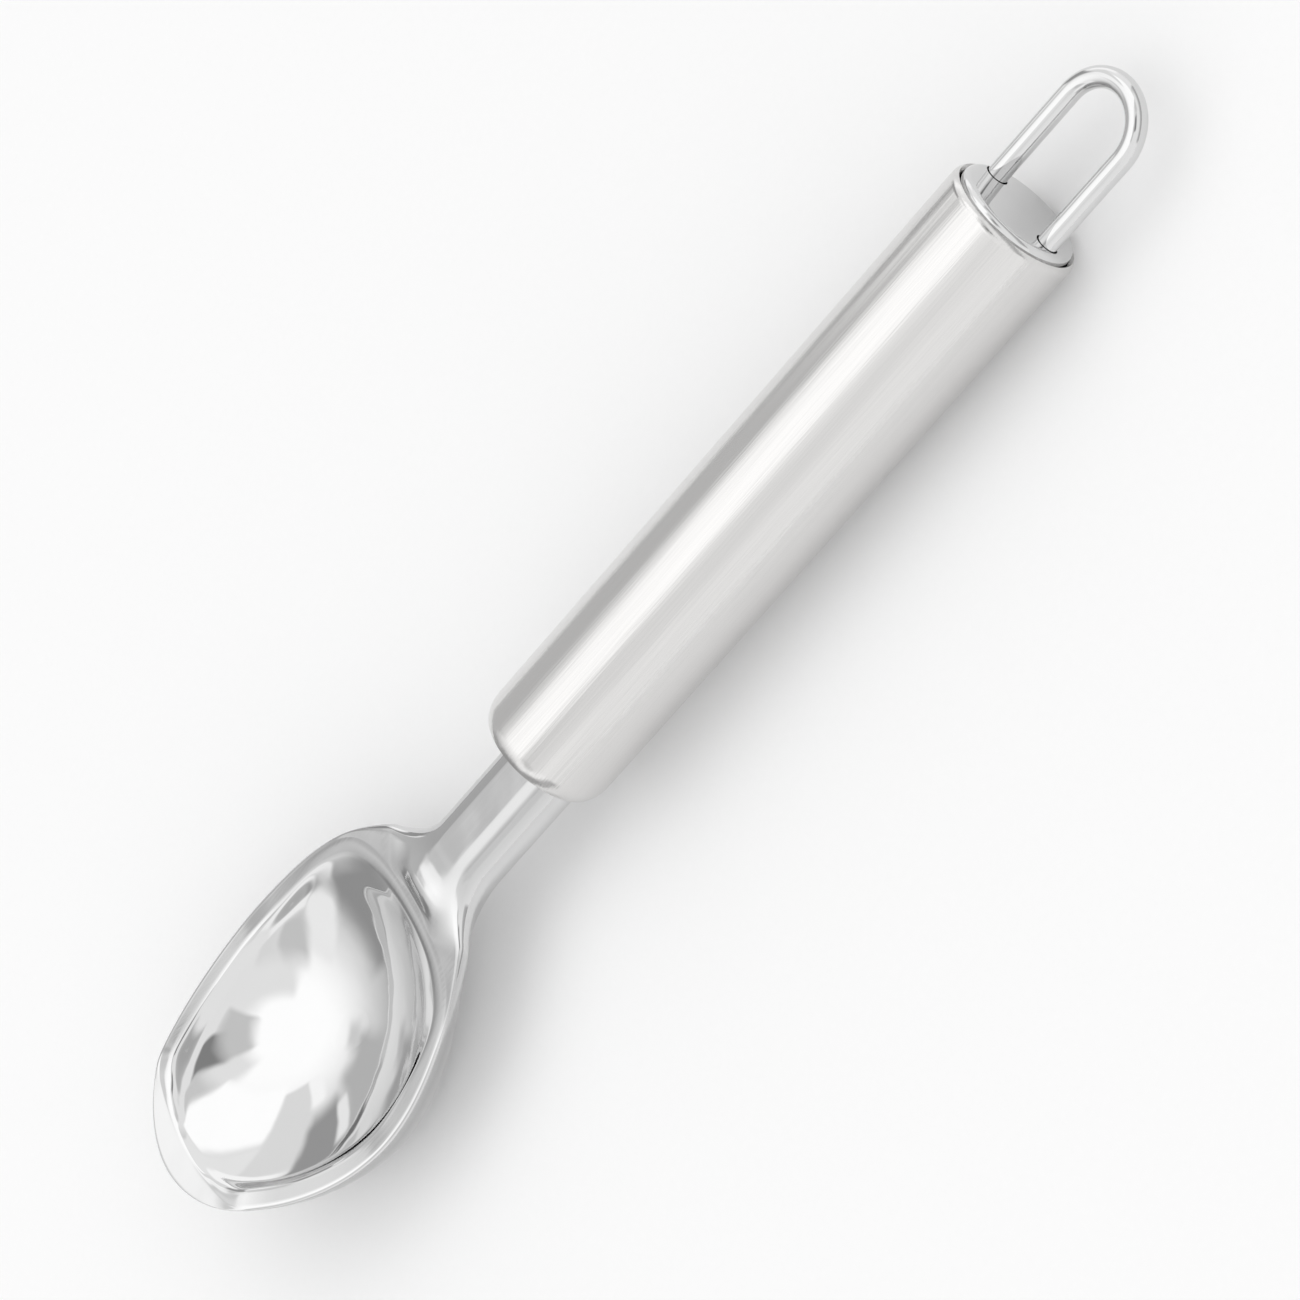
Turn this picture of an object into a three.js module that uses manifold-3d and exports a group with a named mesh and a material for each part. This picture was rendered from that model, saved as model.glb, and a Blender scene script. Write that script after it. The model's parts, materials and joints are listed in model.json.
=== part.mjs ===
// Ice cream scoop: a cast head on a tube handle, with a wire loop to hang it by.
// Millimetres. The scoop is shaped along its handle, with +X towards the bowl, +Z out of the bowl's hollow
// and x = 0 at the mouth of the tube. The finished group is then laid down as the scoop rests on a table.
import * as THREE from "three";
import { mergeVertices } from "three/addons/utils/BufferGeometryUtils.js";
import Module from "manifold-3d";

const wasm = await Module();
wasm.setup();

// Clearances
const FIT = 0.3; // between pieces that seat on each other
const CAP_GAP = 0.25; // seam between the tube's rolled edge and the end cap
const LEG_HOLE_GAP = 0.45; // round a leg of the loop in the end cap

// Handle tube: drawn tube, spun in at the mouth and rolled over at the rear edge
const TUBE_DIAMETER = 20;
const TUBE_LENGTH = 104.4;
const TUBE_WALL = 0.6;
const SHOULDER_RADIUS = 5;
const SHOULDER_SWEEP = 30; // degrees of arc
const ROLL_RADIUS = 1.5;
const ROLL_SWEEP = 50; // degrees of arc

// End cap: pressed cup, proud of the tube
const CAP_PROUD = 1.04;
const CAP_WALL = 0.8;
const CAP_EDGE = 1;
const CAP_DEPTH = 7;

// Hanging loop: round wire bent to a long U
const WIRE_DIAMETER = 3;
const LOOP_REACH = 22.8; // past the cap's face
const LEG_DEPTH = 20; // behind the cap's face
const LEG_EDGE = 0.9; // from a leg to the cap's side
const PLUG_LENGTH = 18;

// Tang, its insert and its pin
const TANG_WIDTH = 10;
const TANG_THICKNESS = 5;
const TANG_CORNER = 0.8;
const TANG_LENGTH = 34;
const INSERT_END_WALL = 3;
const PIN_DIAMETER = 3;
const PIN_FROM_TANG_END = 12;
const PIN_END_INSET = 0.6;

// Neck: flat bar that leaves the round collar below the handle's axis
const COLLAR_PROUD = 0.6;
const COLLAR_DEPTH = 1.2; // inside the mouth
const COLLAR_EDGE = 0.35;
const NECK_WIDTH = 12.7;
const NECK_THICKNESS = 6.8;
const NECK_TOP = 1.4;
const NECK_SHOULDER = 3.6; // along the top
const NECK_CORNER = 1.5; // along the underside
const NECK_STRAIGHT = 20; // from the mouth to where the fishtail starts
const FISHTAIL_LENGTH = 12.2;
const FISHTAIL_SPREAD = 8; // on each side
const FISHTAIL_CORNER = 3.5;
const NOSE_SINK = 0.4; // of the neck's end under the rim's crest
const ROOT_LIFT = 3; // of the neck's underside, where the bowl's takes over

// Bowl: egg-shaped, its rim dipping in the middle and sweeping up to the tip
const BOWL_FRONT = 33.1; // from the widest place to the tip
const BOWL_REAR = 38.2; // from the widest place to the point that the neck hides
const BOWL_HALF_WIDTH = 22.3;
const BOWL_DEPTH = 13.7;
const BOWL_WALL = 6.4; // at the bottom
const FRONT_FULLNESS = 1.9; // power of the superellipse, 2 for an ellipse
const REAR_FULLNESS = 1.87;
const CREST_FULLNESS = 3.2; // of the crest line round the rear of the hollow
const RIM_LEVEL = -3.74; // at the widest place
const TIP_RISE = 7.4;
const REAR_RISE = 3;
const REAR_RISE_RUN = 29;
const EDGE_WIDTH = 0.6; // slope from the outer edge up to the crest
const EDGE_HEIGHT = 0.4;
const CREST_REAR = 27.6; // from the widest place back to the crest
const LAND_FLANK = 2.5; // width of the flat inside the crest along the flanks
const LAND_REAR = 2.3; // and round the rear
const LIP_FLANK = 1.4; // rolls from the land down into the hollow
const LIP_REAR = 2.4;
const HOLLOW_FULLNESS = 2.35;
const HOLLOW_POWER = 2; // of the fall from the lip to the bottom, 2 for a parabola
const TIP_FACET_LEVEL = 1.5;

// Powers of the superellipse that the outside follows from the rim down, 2 and 2 for an ellipse: the first
// rounds the bottom, the second stands the wall up under the rim. The wall grows slacker towards the neck.
const DOME_WALL = { front: [2.2, 2.1], rear: [1.5, 1] };

// Facets
const ROUND_STEPS = 40;
const WIRE_SIDES = 12;
const LOOP_STEPS = 44;
const EGG_STEPS = 72;
const DOME_STEPS = 11;
const HOLLOW_STEPS = 10;
const LIP_STEPS = 4;
const CORNER_STEPS = 4;
const FISHTAIL_STEPS = 10;
const ARC_STEPS = 6;
const FAR = 200; // reach of a cutting solid past the part

const DEGREE = Math.PI / 180;
const tubeRadius = TUBE_DIAMETER / 2;
const boreRadius = tubeRadius - TUBE_WALL;
const wireRadius = WIRE_DIAMETER / 2;

// Helpers

function solid(geometry) {
  const bare = new THREE.BufferGeometry();
  bare.setAttribute("position", geometry.getAttribute("position"));
  bare.setIndex(geometry.getIndex());
  const merged = mergeVertices(bare);
  return new wasm.Manifold(
    new wasm.Mesh({
      numProp: 3,
      vertProperties: merged.getAttribute("position").array,
      triVerts: new Uint32Array(merged.getIndex().array),
    }),
  );
}

function geometryOf(shape) {
  const mesh = shape.getMesh();
  const geometry = new THREE.BufferGeometry();
  geometry.setAttribute("position", new THREE.BufferAttribute(mesh.vertProperties, 3));
  geometry.setIndex(new THREE.BufferAttribute(mesh.triVerts, 1));
  geometry.computeVertexNormals();
  return geometry;
}

// A closed skin over rings of points, each ring anticlockwise seen from the way the rings advance.
// A point at each end closes it.
function loft(first, rings, last) {
  const count = rings[0].length;
  const points = [first, ...rings.flat(), last];
  const end = points.length - 1;
  const index = [];
  const at = (ring, i) => 1 + ring * count + (i % count);
  for (let i = 0; i < count; i++) {
    index.push(0, at(0, i + 1), at(0, i));
    for (let ring = 0; ring + 1 < rings.length; ring++) {
      index.push(at(ring, i), at(ring, i + 1), at(ring + 1, i + 1));
      index.push(at(ring, i), at(ring + 1, i + 1), at(ring + 1, i));
    }
    index.push(end, at(rings.length - 1, i), at(rings.length - 1, i + 1));
  }
  const geometry = new THREE.BufferGeometry().setFromPoints(points);
  geometry.setIndex(index);
  return solid(geometry);
}

// A solid turned about the X axis from an outline of [x, radius] points that runs round the section
// anticlockwise, or from the axis to the axis.
function turned(outline) {
  const profile = outline.map(([x, radius]) => new THREE.Vector2(radius, x));
  return solid(new THREE.LatheGeometry(profile, ROUND_STEPS).rotateZ(-Math.PI / 2));
}

function arc(x, radius, size, from, to) {
  return Array.from({ length: ARC_STEPS + 1 }, (_, i) => {
    const angle = (from + ((to - from) * i) / ARC_STEPS) * DEGREE;
    return [x + size * Math.sin(angle), radius + size * Math.cos(angle)];
  });
}

function rod(radius, from, to, y) {
  const geometry = new THREE.CylinderGeometry(radius, radius, to - from, ROUND_STEPS / 2);
  return solid(geometry.rotateZ(-Math.PI / 2).translate((from + to) / 2, y, 0));
}

function upright(radius, half, x) {
  return solid(
    new THREE.CylinderGeometry(radius, radius, 2 * half, ROUND_STEPS / 2)
      .rotateX(Math.PI / 2)
      .translate(x, 0, 0),
  );
}

function block(x, y, z) {
  const geometry = new THREE.BoxGeometry(x[1] - x[0], y[1] - y[0], z[1] - z[0]);
  return solid(geometry.translate((x[0] + x[1]) / 2, (y[0] + y[1]) / 2, (z[0] + z[1]) / 2));
}

// One section of a bar along X: a rectangle with round corners.
function barSection(x, half, bottom, top, corner, shoulder) {
  const low = Math.min(corner, (top - bottom) / 2, half);
  const high = Math.min(shoulder, top - bottom - low, half);
  const centres = [
    [half - high, top - high, high],
    [high - half, top - high, high],
    [low - half, bottom + low, low],
    [half - low, bottom + low, low],
  ];
  return centres.flatMap(([y, z, round], side) =>
    Array.from({ length: CORNER_STEPS + 1 }, (_, i) => {
      const angle = (side + i / CORNER_STEPS) * 90 * DEGREE;
      return new THREE.Vector3(x, y + round * Math.cos(angle), z + round * Math.sin(angle));
    }),
  );
}

function bar(sections) {
  const total = (ring) => ring.reduce((sum, p) => sum.add(p), new THREE.Vector3());
  const middle = (ring) => total(ring).divideScalar(ring.length);
  return loft(middle(sections[0]), sections, middle(sections.at(-1)));
}

// Handle tube

const shoulderX = -SHOULDER_RADIUS * Math.sin(SHOULDER_SWEEP * DEGREE);
const shoulderRadius = tubeRadius - SHOULDER_RADIUS;
const rollX = ROLL_RADIUS * Math.sin(ROLL_SWEEP * DEGREE) - TUBE_LENGTH;
const rollRadius = tubeRadius - ROLL_RADIUS;
const rollArc = (size, from, to) => arc(rollX, rollRadius, size, from, to);
const shoulderArc = (size, from, to) => arc(shoulderX, shoulderRadius, size, from, to);

function handleTube() {
  return turned([
    ...shoulderArc(SHOULDER_RADIUS - TUBE_WALL, SHOULDER_SWEEP, 0),
    ...rollArc(ROLL_RADIUS - TUBE_WALL, 0, -ROLL_SWEEP),
    ...rollArc(ROLL_RADIUS, -ROLL_SWEEP, 0),
    ...shoulderArc(SHOULDER_RADIUS, 0, SHOULDER_SWEEP),
    shoulderArc(SHOULDER_RADIUS - TUBE_WALL, SHOULDER_SWEEP, 0)[0],
  ]);
}

// End cap, loop and the plug that holds the loop's legs

const capFace = -TUBE_LENGTH - CAP_PROUD;
const capRadius = rollArc(ROLL_RADIUS - TUBE_WALL, 0, -ROLL_SWEEP).at(-1)[1] - CAP_GAP;
const legY = capRadius - LEG_EDGE - wireRadius;

function legBores(gap, from, to) {
  const radius = wireRadius + gap;
  return rod(radius, from, to, legY).add(rod(radius, from, to, -legY));
}

function endCap() {
  const inside = capRadius - CAP_WALL;
  const cup = turned([
    [capFace, 0],
    ...arc(capFace + CAP_EDGE, capRadius - CAP_EDGE, CAP_EDGE, -90, 0),
    [capFace + CAP_DEPTH, capRadius],
    [capFace + CAP_DEPTH, inside],
    [capFace + CAP_WALL, inside],
    [capFace + CAP_WALL, 0],
  ]);
  return cup.subtract(legBores(LEG_HOLE_GAP, capFace - CAP_EDGE, capFace + CAP_DEPTH));
}

function loopPlug() {
  const spigotRadius = capRadius - CAP_WALL - FIT;
  const bodyRadius = boreRadius - FIT;
  const front = capFace + CAP_WALL + FIT;
  const step = capFace + CAP_DEPTH + FIT;
  const plug = turned([
    [front, 0],
    [front, spigotRadius],
    [step, spigotRadius],
    [step, bodyRadius],
    [step + PLUG_LENGTH, bodyRadius],
    [step + PLUG_LENGTH, 0],
  ]);
  return plug.subtract(legBores(FIT, front - CAP_WALL, capFace + LEG_DEPTH + FIT));
}

// Centre line of the wire: up one leg, half a turn round the top, down the other leg.
class LoopLine extends THREE.Curve {
  getPoint(t) {
    const top = capFace - LOOP_REACH + wireRadius + legY;
    const leg = capFace + LEG_DEPTH - top;
    const half = (Math.PI * legY) / 2;
    const along = (leg + half) * (2 * t - 1);
    const beyond = Math.abs(along) - half;
    if (beyond > 0) {
      return new THREE.Vector3(top + beyond, Math.sign(along) * legY, 0);
    }
    const angle = along / legY;
    return new THREE.Vector3(top - legY * Math.cos(angle), legY * Math.sin(angle), 0);
  }
}

function hangingLoop() {
  const section = new THREE.Shape().absarc(0, 0, wireRadius, 0, 2 * Math.PI);
  return solid(
    new THREE.ExtrudeGeometry(section, {
      steps: LOOP_STEPS,
      curveSegments: WIRE_SIDES / 2,
      extrudePath: new LoopLine(),
    }),
  );
}

// Insert halves and cross pin that hold the tang

const insertRadius = boreRadius - FIT;
const insertFront = Math.min(shoulderX, -COLLAR_DEPTH) - FIT;
const insertRear = -TANG_LENGTH - FIT - INSERT_END_WALL;
const pinX = PIN_FROM_TANG_END - TANG_LENGTH;

function insertHalf(side) {
  const split = FIT / 2;
  const half = side > 0 ? [split, FAR] : [-FAR, -split];
  const pocketY = TANG_WIDTH / 2 + FIT;
  const pocketZ = TANG_THICKNESS / 2 + FIT;
  return rod(insertRadius, insertRear, insertFront, 0)
    .subtract(block([-TANG_LENGTH - FIT, FAR], [-pocketY, pocketY], [-pocketZ, pocketZ]))
    .subtract(upright(PIN_DIAMETER / 2 + FIT, FAR, pinX))
    .intersect(block([-FAR, FAR], [-FAR, FAR], half));
}

function tangPin() {
  return upright(PIN_DIAMETER / 2, insertRadius - PIN_END_INSET, pinX);
}

// Scoop head

const bowlX = NECK_STRAIGHT + FISHTAIL_LENGTH + CREST_REAR;
const eggAngles = Array.from({ length: EGG_STEPS }, (_, i) => (2 * Math.PI * i) / EGG_STEPS);

// A point of an egg outline round the bowl's middle, angle 0 at the tip.
function eggPoint(angle, front, rear, half, rearFullness) {
  const along = Math.cos(angle);
  const across = Math.sin(angle);
  const power = 2 / (along > 0 ? FRONT_FULLNESS : rearFullness);
  const reach = along > 0 ? front : rear;
  return {
    u: Math.sign(along) * reach * Math.abs(along) ** power,
    w: Math.sign(across) * half * Math.abs(across) ** power,
  };
}

const edgePoint = (angle) => eggPoint(angle, BOWL_FRONT, BOWL_REAR, BOWL_HALF_WIDTH, REAR_FULLNESS);

// The crest line and the rings inside it, a set distance in.
function crestPoint(angle, inset) {
  const margin = EDGE_WIDTH + inset;
  return eggPoint(
    angle,
    BOWL_FRONT - margin,
    CREST_REAR - inset,
    BOWL_HALF_WIDTH - margin,
    CREST_FULLNESS,
  );
}

// Where the land ends and the lip starts, and where the lip ends and the hollow starts.
function landPoint(angle) {
  const behind = Math.max(-Math.cos(angle), 0);
  return crestPoint(angle, LAND_FLANK + (LAND_REAR - LAND_FLANK) * behind ** 2);
}

function hollowPoint(angle) {
  const margin = EDGE_WIDTH + LAND_FLANK + LIP_FLANK;
  const rear = CREST_REAR - LAND_REAR - LIP_REAR;
  return eggPoint(angle, BOWL_FRONT - margin, rear, BOWL_HALF_WIDTH - margin, HOLLOW_FULLNESS);
}

// How far the outer edge lies above its level at the widest place.
function edgeRise(u) {
  if (u > 0) {
    return TIP_RISE * (u / BOWL_FRONT) ** 2;
  }
  return (REAR_RISE * (1 - Math.cos(Math.PI * Math.min(-u / REAR_RISE_RUN, 1)))) / 2;
}

const crestRise = (u) => edgeRise(u) + EDGE_HEIGHT;

// How far in and how far down a wall has gone, as parts of the whole.
function wallAt(angle, turn, wall) {
  const behind = Math.max(-Math.cos(angle), 0);
  const [inward, down] = wall.front.map((power, i) => power + (wall.rear[i] - power) * behind);
  return { scale: Math.cos(turn) ** (2 / inward), drop: Math.sin(turn) ** (2 / down) };
}

function eggRing(place) {
  return eggAngles.map((angle) => {
    const [u, w, z] = place(angle);
    return new THREE.Vector3(bowlX + u, w, z);
  });
}

// Outside of the bowl up to its edge, and the slope from there over the crest.
const domeBottom = RIM_LEVEL - BOWL_DEPTH;
function domePoint(angle, turn) {
  const { u, w } = edgePoint(angle);
  const { scale, drop } = wallAt(angle, turn, DOME_WALL);
  const z = RIM_LEVEL - BOWL_DEPTH * drop + edgeRise(u) * (1 - drop);
  return [u * scale, w * scale, z];
}

function dome() {
  const rings = [];
  for (let step = DOME_STEPS - 1; step >= 0; step--) {
    rings.push(eggRing((angle) => domePoint(angle, ((Math.PI / 2) * step) / DOME_STEPS)));
  }
  rings.push(
    eggRing((angle) => {
      const edge = edgePoint(angle);
      const crest = crestPoint(angle, 0);
      const inner = landPoint(angle);
      const slope = crestRise(crest.u) - edgeRise(edge.u);
      const run = Math.hypot(crest.u - edge.u, crest.w - edge.w);
      const further = Math.hypot(inner.u - crest.u, inner.w - crest.w);
      return [inner.u, inner.w, RIM_LEVEL + crestRise(crest.u) + (slope * further) / run];
    }),
  );
  const top = new THREE.Vector3(bowlX, 0, RIM_LEVEL + TIP_RISE);
  return loft(new THREE.Vector3(bowlX, 0, domeBottom), rings, top);
}

// What the casting leaves open: the hollow, the lip that rolls into it and the air over the land. The lip
// takes up the slope of the hollow where they meet.
const landLap = 1; // past the crest
const hollowFloor = domeBottom + BOWL_WALL;
function hollowSide(angle) {
  const crest = crestPoint(angle, 0);
  const land = landPoint(angle);
  const top = hollowPoint(angle);
  const level = RIM_LEVEL + crestRise(crest.u);
  const lipRun = Math.hypot(top.u - land.u, top.w - land.w);
  const run = Math.hypot(top.u, top.w);
  const depth = (level - hollowFloor) / (1 + (lipRun * HOLLOW_POWER) / (2 * run));
  const lipFall = level - hollowFloor - depth;
  return { land, top, level, depth, lipFall };
}

function hollow() {
  const rings = [];
  for (let step = 1; step < HOLLOW_STEPS; step++) {
    const scale = step / HOLLOW_STEPS;
    rings.push(
      eggRing((angle) => {
        const { top, depth } = hollowSide(angle);
        return [top.u * scale, top.w * scale, hollowFloor + depth * scale ** HOLLOW_POWER];
      }),
    );
  }
  for (let step = LIP_STEPS; step >= 0; step--) {
    const t = step / LIP_STEPS;
    rings.push(
      eggRing((angle) => {
        const { land, top, level, lipFall } = hollowSide(angle);
        const z = level - lipFall * t * t;
        return [land.u + (top.u - land.u) * t, land.w + (top.w - land.w) * t, z];
      }),
    );
  }
  const outer = (lift) =>
    eggRing((angle) => {
      const { u, w } = crestPoint(angle, -landLap);
      return [u, w, hollowSide(angle).level + lift];
    });
  rings.push(outer(0), outer(FAR));
  return loft(
    new THREE.Vector3(bowlX, 0, hollowFloor),
    rings,
    new THREE.Vector3(bowlX, 0, FAR),
  );
}

function neck() {
  const half = NECK_WIDTH / 2;
  const bottom = NECK_TOP - NECK_THICKNESS;
  const noseDrop = NECK_TOP + NOSE_SINK - (RIM_LEVEL + crestRise(-CREST_REAR));
  const sections = [barSection(0, half, bottom, NECK_TOP, NECK_CORNER, NECK_SHOULDER)];
  for (let step = 0; step <= FISHTAIL_STEPS; step++) {
    const t = step / FISHTAIL_STEPS;
    sections.push(
      barSection(
        NECK_STRAIGHT + FISHTAIL_LENGTH * t,
        half + FISHTAIL_SPREAD * t ** 1.9,
        bottom + ROOT_LIFT * t ** 1.5,
        NECK_TOP - noseDrop * t ** 2.2,
        NECK_CORNER + (FISHTAIL_CORNER - NECK_CORNER) * t,
        NECK_SHOULDER + (FISHTAIL_CORNER - NECK_SHOULDER) * t,
      ),
    );
  }
  return bar(sections);
}

function collar() {
  const radius = shoulderArc(SHOULDER_RADIUS - TUBE_WALL, 0, SHOULDER_SWEEP).at(-1)[1] - FIT;
  return turned([
    [-COLLAR_DEPTH, 0],
    [-COLLAR_DEPTH, radius],
    ...arc(COLLAR_PROUD - COLLAR_EDGE, radius - COLLAR_EDGE, COLLAR_EDGE, 0, 90),
    [COLLAR_PROUD, 0],
  ]);
}

function tang() {
  const section = (x) =>
    barSection(x, TANG_WIDTH / 2, -TANG_THICKNESS / 2, TANG_THICKNESS / 2, TANG_CORNER, TANG_CORNER);
  return bar([section(-TANG_LENGTH), section(0)]);
}

function scoopHead() {
  const tipFacet = block([bowlX, FAR], [-FAR, FAR], [TIP_FACET_LEVEL, FAR]);
  return dome()
    .add(neck())
    .subtract(hollow())
    .subtract(tipFacet)
    .add(collar())
    .add(tang())
    .subtract(upright(PIN_DIAMETER / 2 + FIT, FAR, pinX));
}

// Finishes

const polishedCasting = new THREE.MeshStandardMaterial({ color: 0xd9d9d8, roughness: 0.06, metalness: 1 });
const brushedSteel = new THREE.MeshStandardMaterial({ color: 0xd2d1ce, roughness: 0.35, metalness: 1 });
const polishedSteel = new THREE.MeshStandardMaterial({ color: 0xdcdcda, roughness: 0.08, metalness: 1 });
const plainSteel = new THREE.MeshStandardMaterial({ color: 0xb8b8b6, roughness: 0.3, metalness: 1 });
const nylon = new THREE.MeshStandardMaterial({ color: 0x2b2b2b, roughness: 0.6, metalness: 0 });

// Assembly

const scoop = new THREE.Group();

function place(name, shape, material) {
  const mesh = new THREE.Mesh(geometryOf(shape), material.clone());
  mesh.name = name;
  scoop.add(mesh);
}

place("scoop_head", scoopHead(), polishedCasting);
place("handle_tube", handleTube(), brushedSteel);
place("end_cap", endCap(), polishedSteel);
place("hanging_loop", hangingLoop(), polishedSteel);
place("insert_upper", insertHalf(1), nylon);
place("insert_lower", insertHalf(-1), nylon);
place("tang_pin", tangPin(), plainSteel);
place("loop_plug", loopPlug(), nylon);

// The scoop lies on the bowl's underside and on the rear edge of the tube. The tilt that brings both down
// to one level is found by halving the range that holds it.
function lowest(points, tilt) {
  return Math.min(...points.map(([x, z]) => x * Math.sin(tilt) + z * Math.cos(tilt)));
}

function restTilt() {
  const underside = [];
  for (let step = 0; step <= 90; step++) {
    for (const angle of [0, Math.PI]) {
      const [u, , z] = domePoint(angle, step * DEGREE);
      underside.push([bowlX + u, z]);
    }
  }
  const rearEdge = rollArc(ROLL_RADIUS, -ROLL_SWEEP, 0).map(([x, radius]) => [x, -radius]);
  let low = -30 * DEGREE;
  let high = 30 * DEGREE;
  for (let step = 0; step < 50; step++) {
    const middle = (low + high) / 2;
    if (lowest(underside, middle) < lowest(rearEdge, middle)) {
      low = middle;
    } else {
      high = middle;
    }
  }
  return low;
}

scoop.rotation.y = -restTilt();
const part = new THREE.Group().add(scoop);
part.updateMatrixWorld(true);
const box = new THREE.Box3().setFromObject(part, true);
const middle = box.getCenter(new THREE.Vector3());
scoop.position.set(-middle.x, -middle.y, -box.min.z);

export default part;
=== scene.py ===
import json
import math

import bmesh
import bpy
from mathutils import Matrix, Vector


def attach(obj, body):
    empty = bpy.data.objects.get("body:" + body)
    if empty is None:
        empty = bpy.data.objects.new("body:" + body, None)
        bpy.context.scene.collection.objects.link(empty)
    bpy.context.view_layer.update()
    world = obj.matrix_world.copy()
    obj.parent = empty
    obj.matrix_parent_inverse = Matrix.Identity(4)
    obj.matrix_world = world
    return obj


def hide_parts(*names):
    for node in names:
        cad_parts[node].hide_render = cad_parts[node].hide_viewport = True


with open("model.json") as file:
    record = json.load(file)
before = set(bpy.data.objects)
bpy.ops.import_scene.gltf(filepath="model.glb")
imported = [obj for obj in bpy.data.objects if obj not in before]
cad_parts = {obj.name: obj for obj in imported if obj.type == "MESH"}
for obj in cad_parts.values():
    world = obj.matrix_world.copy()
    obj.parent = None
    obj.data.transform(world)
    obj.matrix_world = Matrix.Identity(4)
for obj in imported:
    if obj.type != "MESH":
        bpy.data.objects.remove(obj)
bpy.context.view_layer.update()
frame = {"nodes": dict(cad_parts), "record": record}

bl_info = {
    "name": "Ice Cream Scoop",
    "version": (1, 0, 0),
    "blender": (4, 5, 0),
    "location": "View3D > Sidebar > Scoop",
    "description": "Polished cast scoop with a brushed tube handle and a hanging loop",
    "category": "Mesh",
}

MM = 0.001

# Angle in degrees up to which an edge is shaded smooth, and distance in metres at which points merge
SMOOTH_BELOW = 35
WELD = 1e-7

# Height above the handle's axis, in millimetres, of the place on the cap that the record names
END_FACE_HEIGHT = 3.0

# Tube and cap, in millimetres
TUBE_WALL = 0.6
SHOULDER_RADIUS = 5.2
SHOULDER_SWEEP = 30
ROLL_RADIUS = 1.5
ROLL_SWEEP = 50
CAP_PROUD = 1.04
CAP_GAP = 0.14
CAP_WALL = 0.8
CAP_EDGE = 1.0
CAP_DEPTH = 7.0
CAP_FILLET = 0.5
CAP_MIDDLE = 1.0
LEG_HOLE_GAP = 0.2
LEG_DEPTH = 20.0
LEG_EDGE = 1.01
LEG_BEVEL = 0.3

# Collar and tang
COLLAR_PROUD = 0.6
COLLAR_DEPTH = 1.2
COLLAR_EDGE = 0.35
COLLAR_GAP = 0.3
TANG_WIDTH = 10.0
TANG_THICKNESS = 5.0
TANG_CORNER = 0.8
TANG_BEVEL = 0.6
TANG_LENGTH = 34.0
PIN_SETBACK = 22.0
PIN_HOLE_RADIUS = 1.8
PIN_HOLE_LENGTH = 20.0

# Faces round the turned pieces, the holes and the wire, and along their arcs
TURN_STEPS = 160
COLLAR_STEPS = 128
LEG_HOLE_STEPS = 64
PIN_HOLE_STEPS = 48
WIRE_STEPS = 32
ARCH_STEPS = 48
LEG_STEPS = 4
ARC_STEPS = 8
COLLAR_EDGE_STEPS = 5
CORNER_STEPS = 4

# Neck bar and the fishtail it ends in
NECK_HALF = 6.35
NECK_TOP = 1.4
NECK_BOTTOM = -5.4
NECK_SHOULDER = 3.6
NECK_CORNER = 1.5
NECK_STRAIGHT = 20.0
NECK_UNDERSIDE = (4.6, 3.0, 1.5, 0.0)
FISHTAIL_SPREAD = 2.2
FISHTAIL_FALL = 1.3

# Bowl: an egg outline, fuller or slacker at the front and the rear
BOWL_MIDDLE = 59.8
FRONT_FULLNESS = 1.9
REAR_FULLNESS = 1.87
CREST_FULLNESS = 3.2
HOLLOW_FRONT_FULLNESS = 2.0
HOLLOW_REAR_FULLNESS = 2.35
CREST_REAR = 27.6
RIM_LEVEL = -3.74
TIP_RISE = 9.3
REAR_RISE = 3.0
REAR_RISE_RUN = 29.0
EDGE_WIDTH = 0.6
EDGE_HEIGHT = 0.4

# Land and lip inside the crest, along the flanks and at the rear, and what changes at the tip
LAND_WIDTH = (2.2, 0.6)
LIP_WIDTH = (2.0, 4.1)
LIP_FALL = (1.9, 2.4)
TIP_LIP_WIDTH = 0.6
TIP_LIP_FALL = 0.5
TIP_LEVEL = 1.5
TIP_FLAT_WIDTH = 4.2
TIP_FLAT_HALF = 13.2
TIP_FLAT_LEAN = 0.11

# Parts of the lip's width between which it runs straight
LIP_BENDS = (0.4, 0.75)

# Fullness of the dome's wall inwards and downwards, along the flanks and at the rear
DOME_WALL = ((2.2, 2.1), (1.5, 1.0))

# Where the land narrows, from the bowl's middle, and where the crest's outline blends into the edge's
LAND_NARROWS_FROM = -6.0
LAND_NARROWS_RUN = 16.0
SMALLEST_LAND = 0.05
CREST_BLEND = 1.5
CREST_BLEND_RUN = 12.0
SMALLEST_BLEND = 1e-6

# Ridges between the crest and the edge: part of the way across on the flank and at the ear, and lift there
RIDGES = ((0.4, 0.73, 0.5), (0.8, 0.91, 0.75))
FLANK_LIFT = 0.08
EAR_DROP = 1.1

# Columns of faces round the bowl; the neck grows from the ones between EAR and its mirror image
COLUMNS = 96
REAR = COLUMNS // 2
EAR = 44
FLANK_END = 34
TIP_END = 16
EAR_ANGLE = 146.5
MIDDLE_SPAN = 24
SMALLEST_RING = 0.15
EGG_STEPS = 720
LINE_STEPS = 60
LAND_STEPS = 8
LIP_STEPS = 16

# Numbers of a piece's rings, and the bowl's: crest, two ridges, edge, down the outside, down the inside
FIRST_RING = 1
CREST_RING = FIRST_RING
EDGE_RING = 4
DOME_RING = 5
NECK_RING = 7
HOLLOW_RING = 40
MIDDLE_RING = -1
LAND_RINGS = range(HOLLOW_RING, HOLLOW_RING + 3)
OUTER_RINGS = (EDGE_RING, DOME_RING)
NECK_TOP_RINGS = range(CREST_RING, EDGE_RING)

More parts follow.
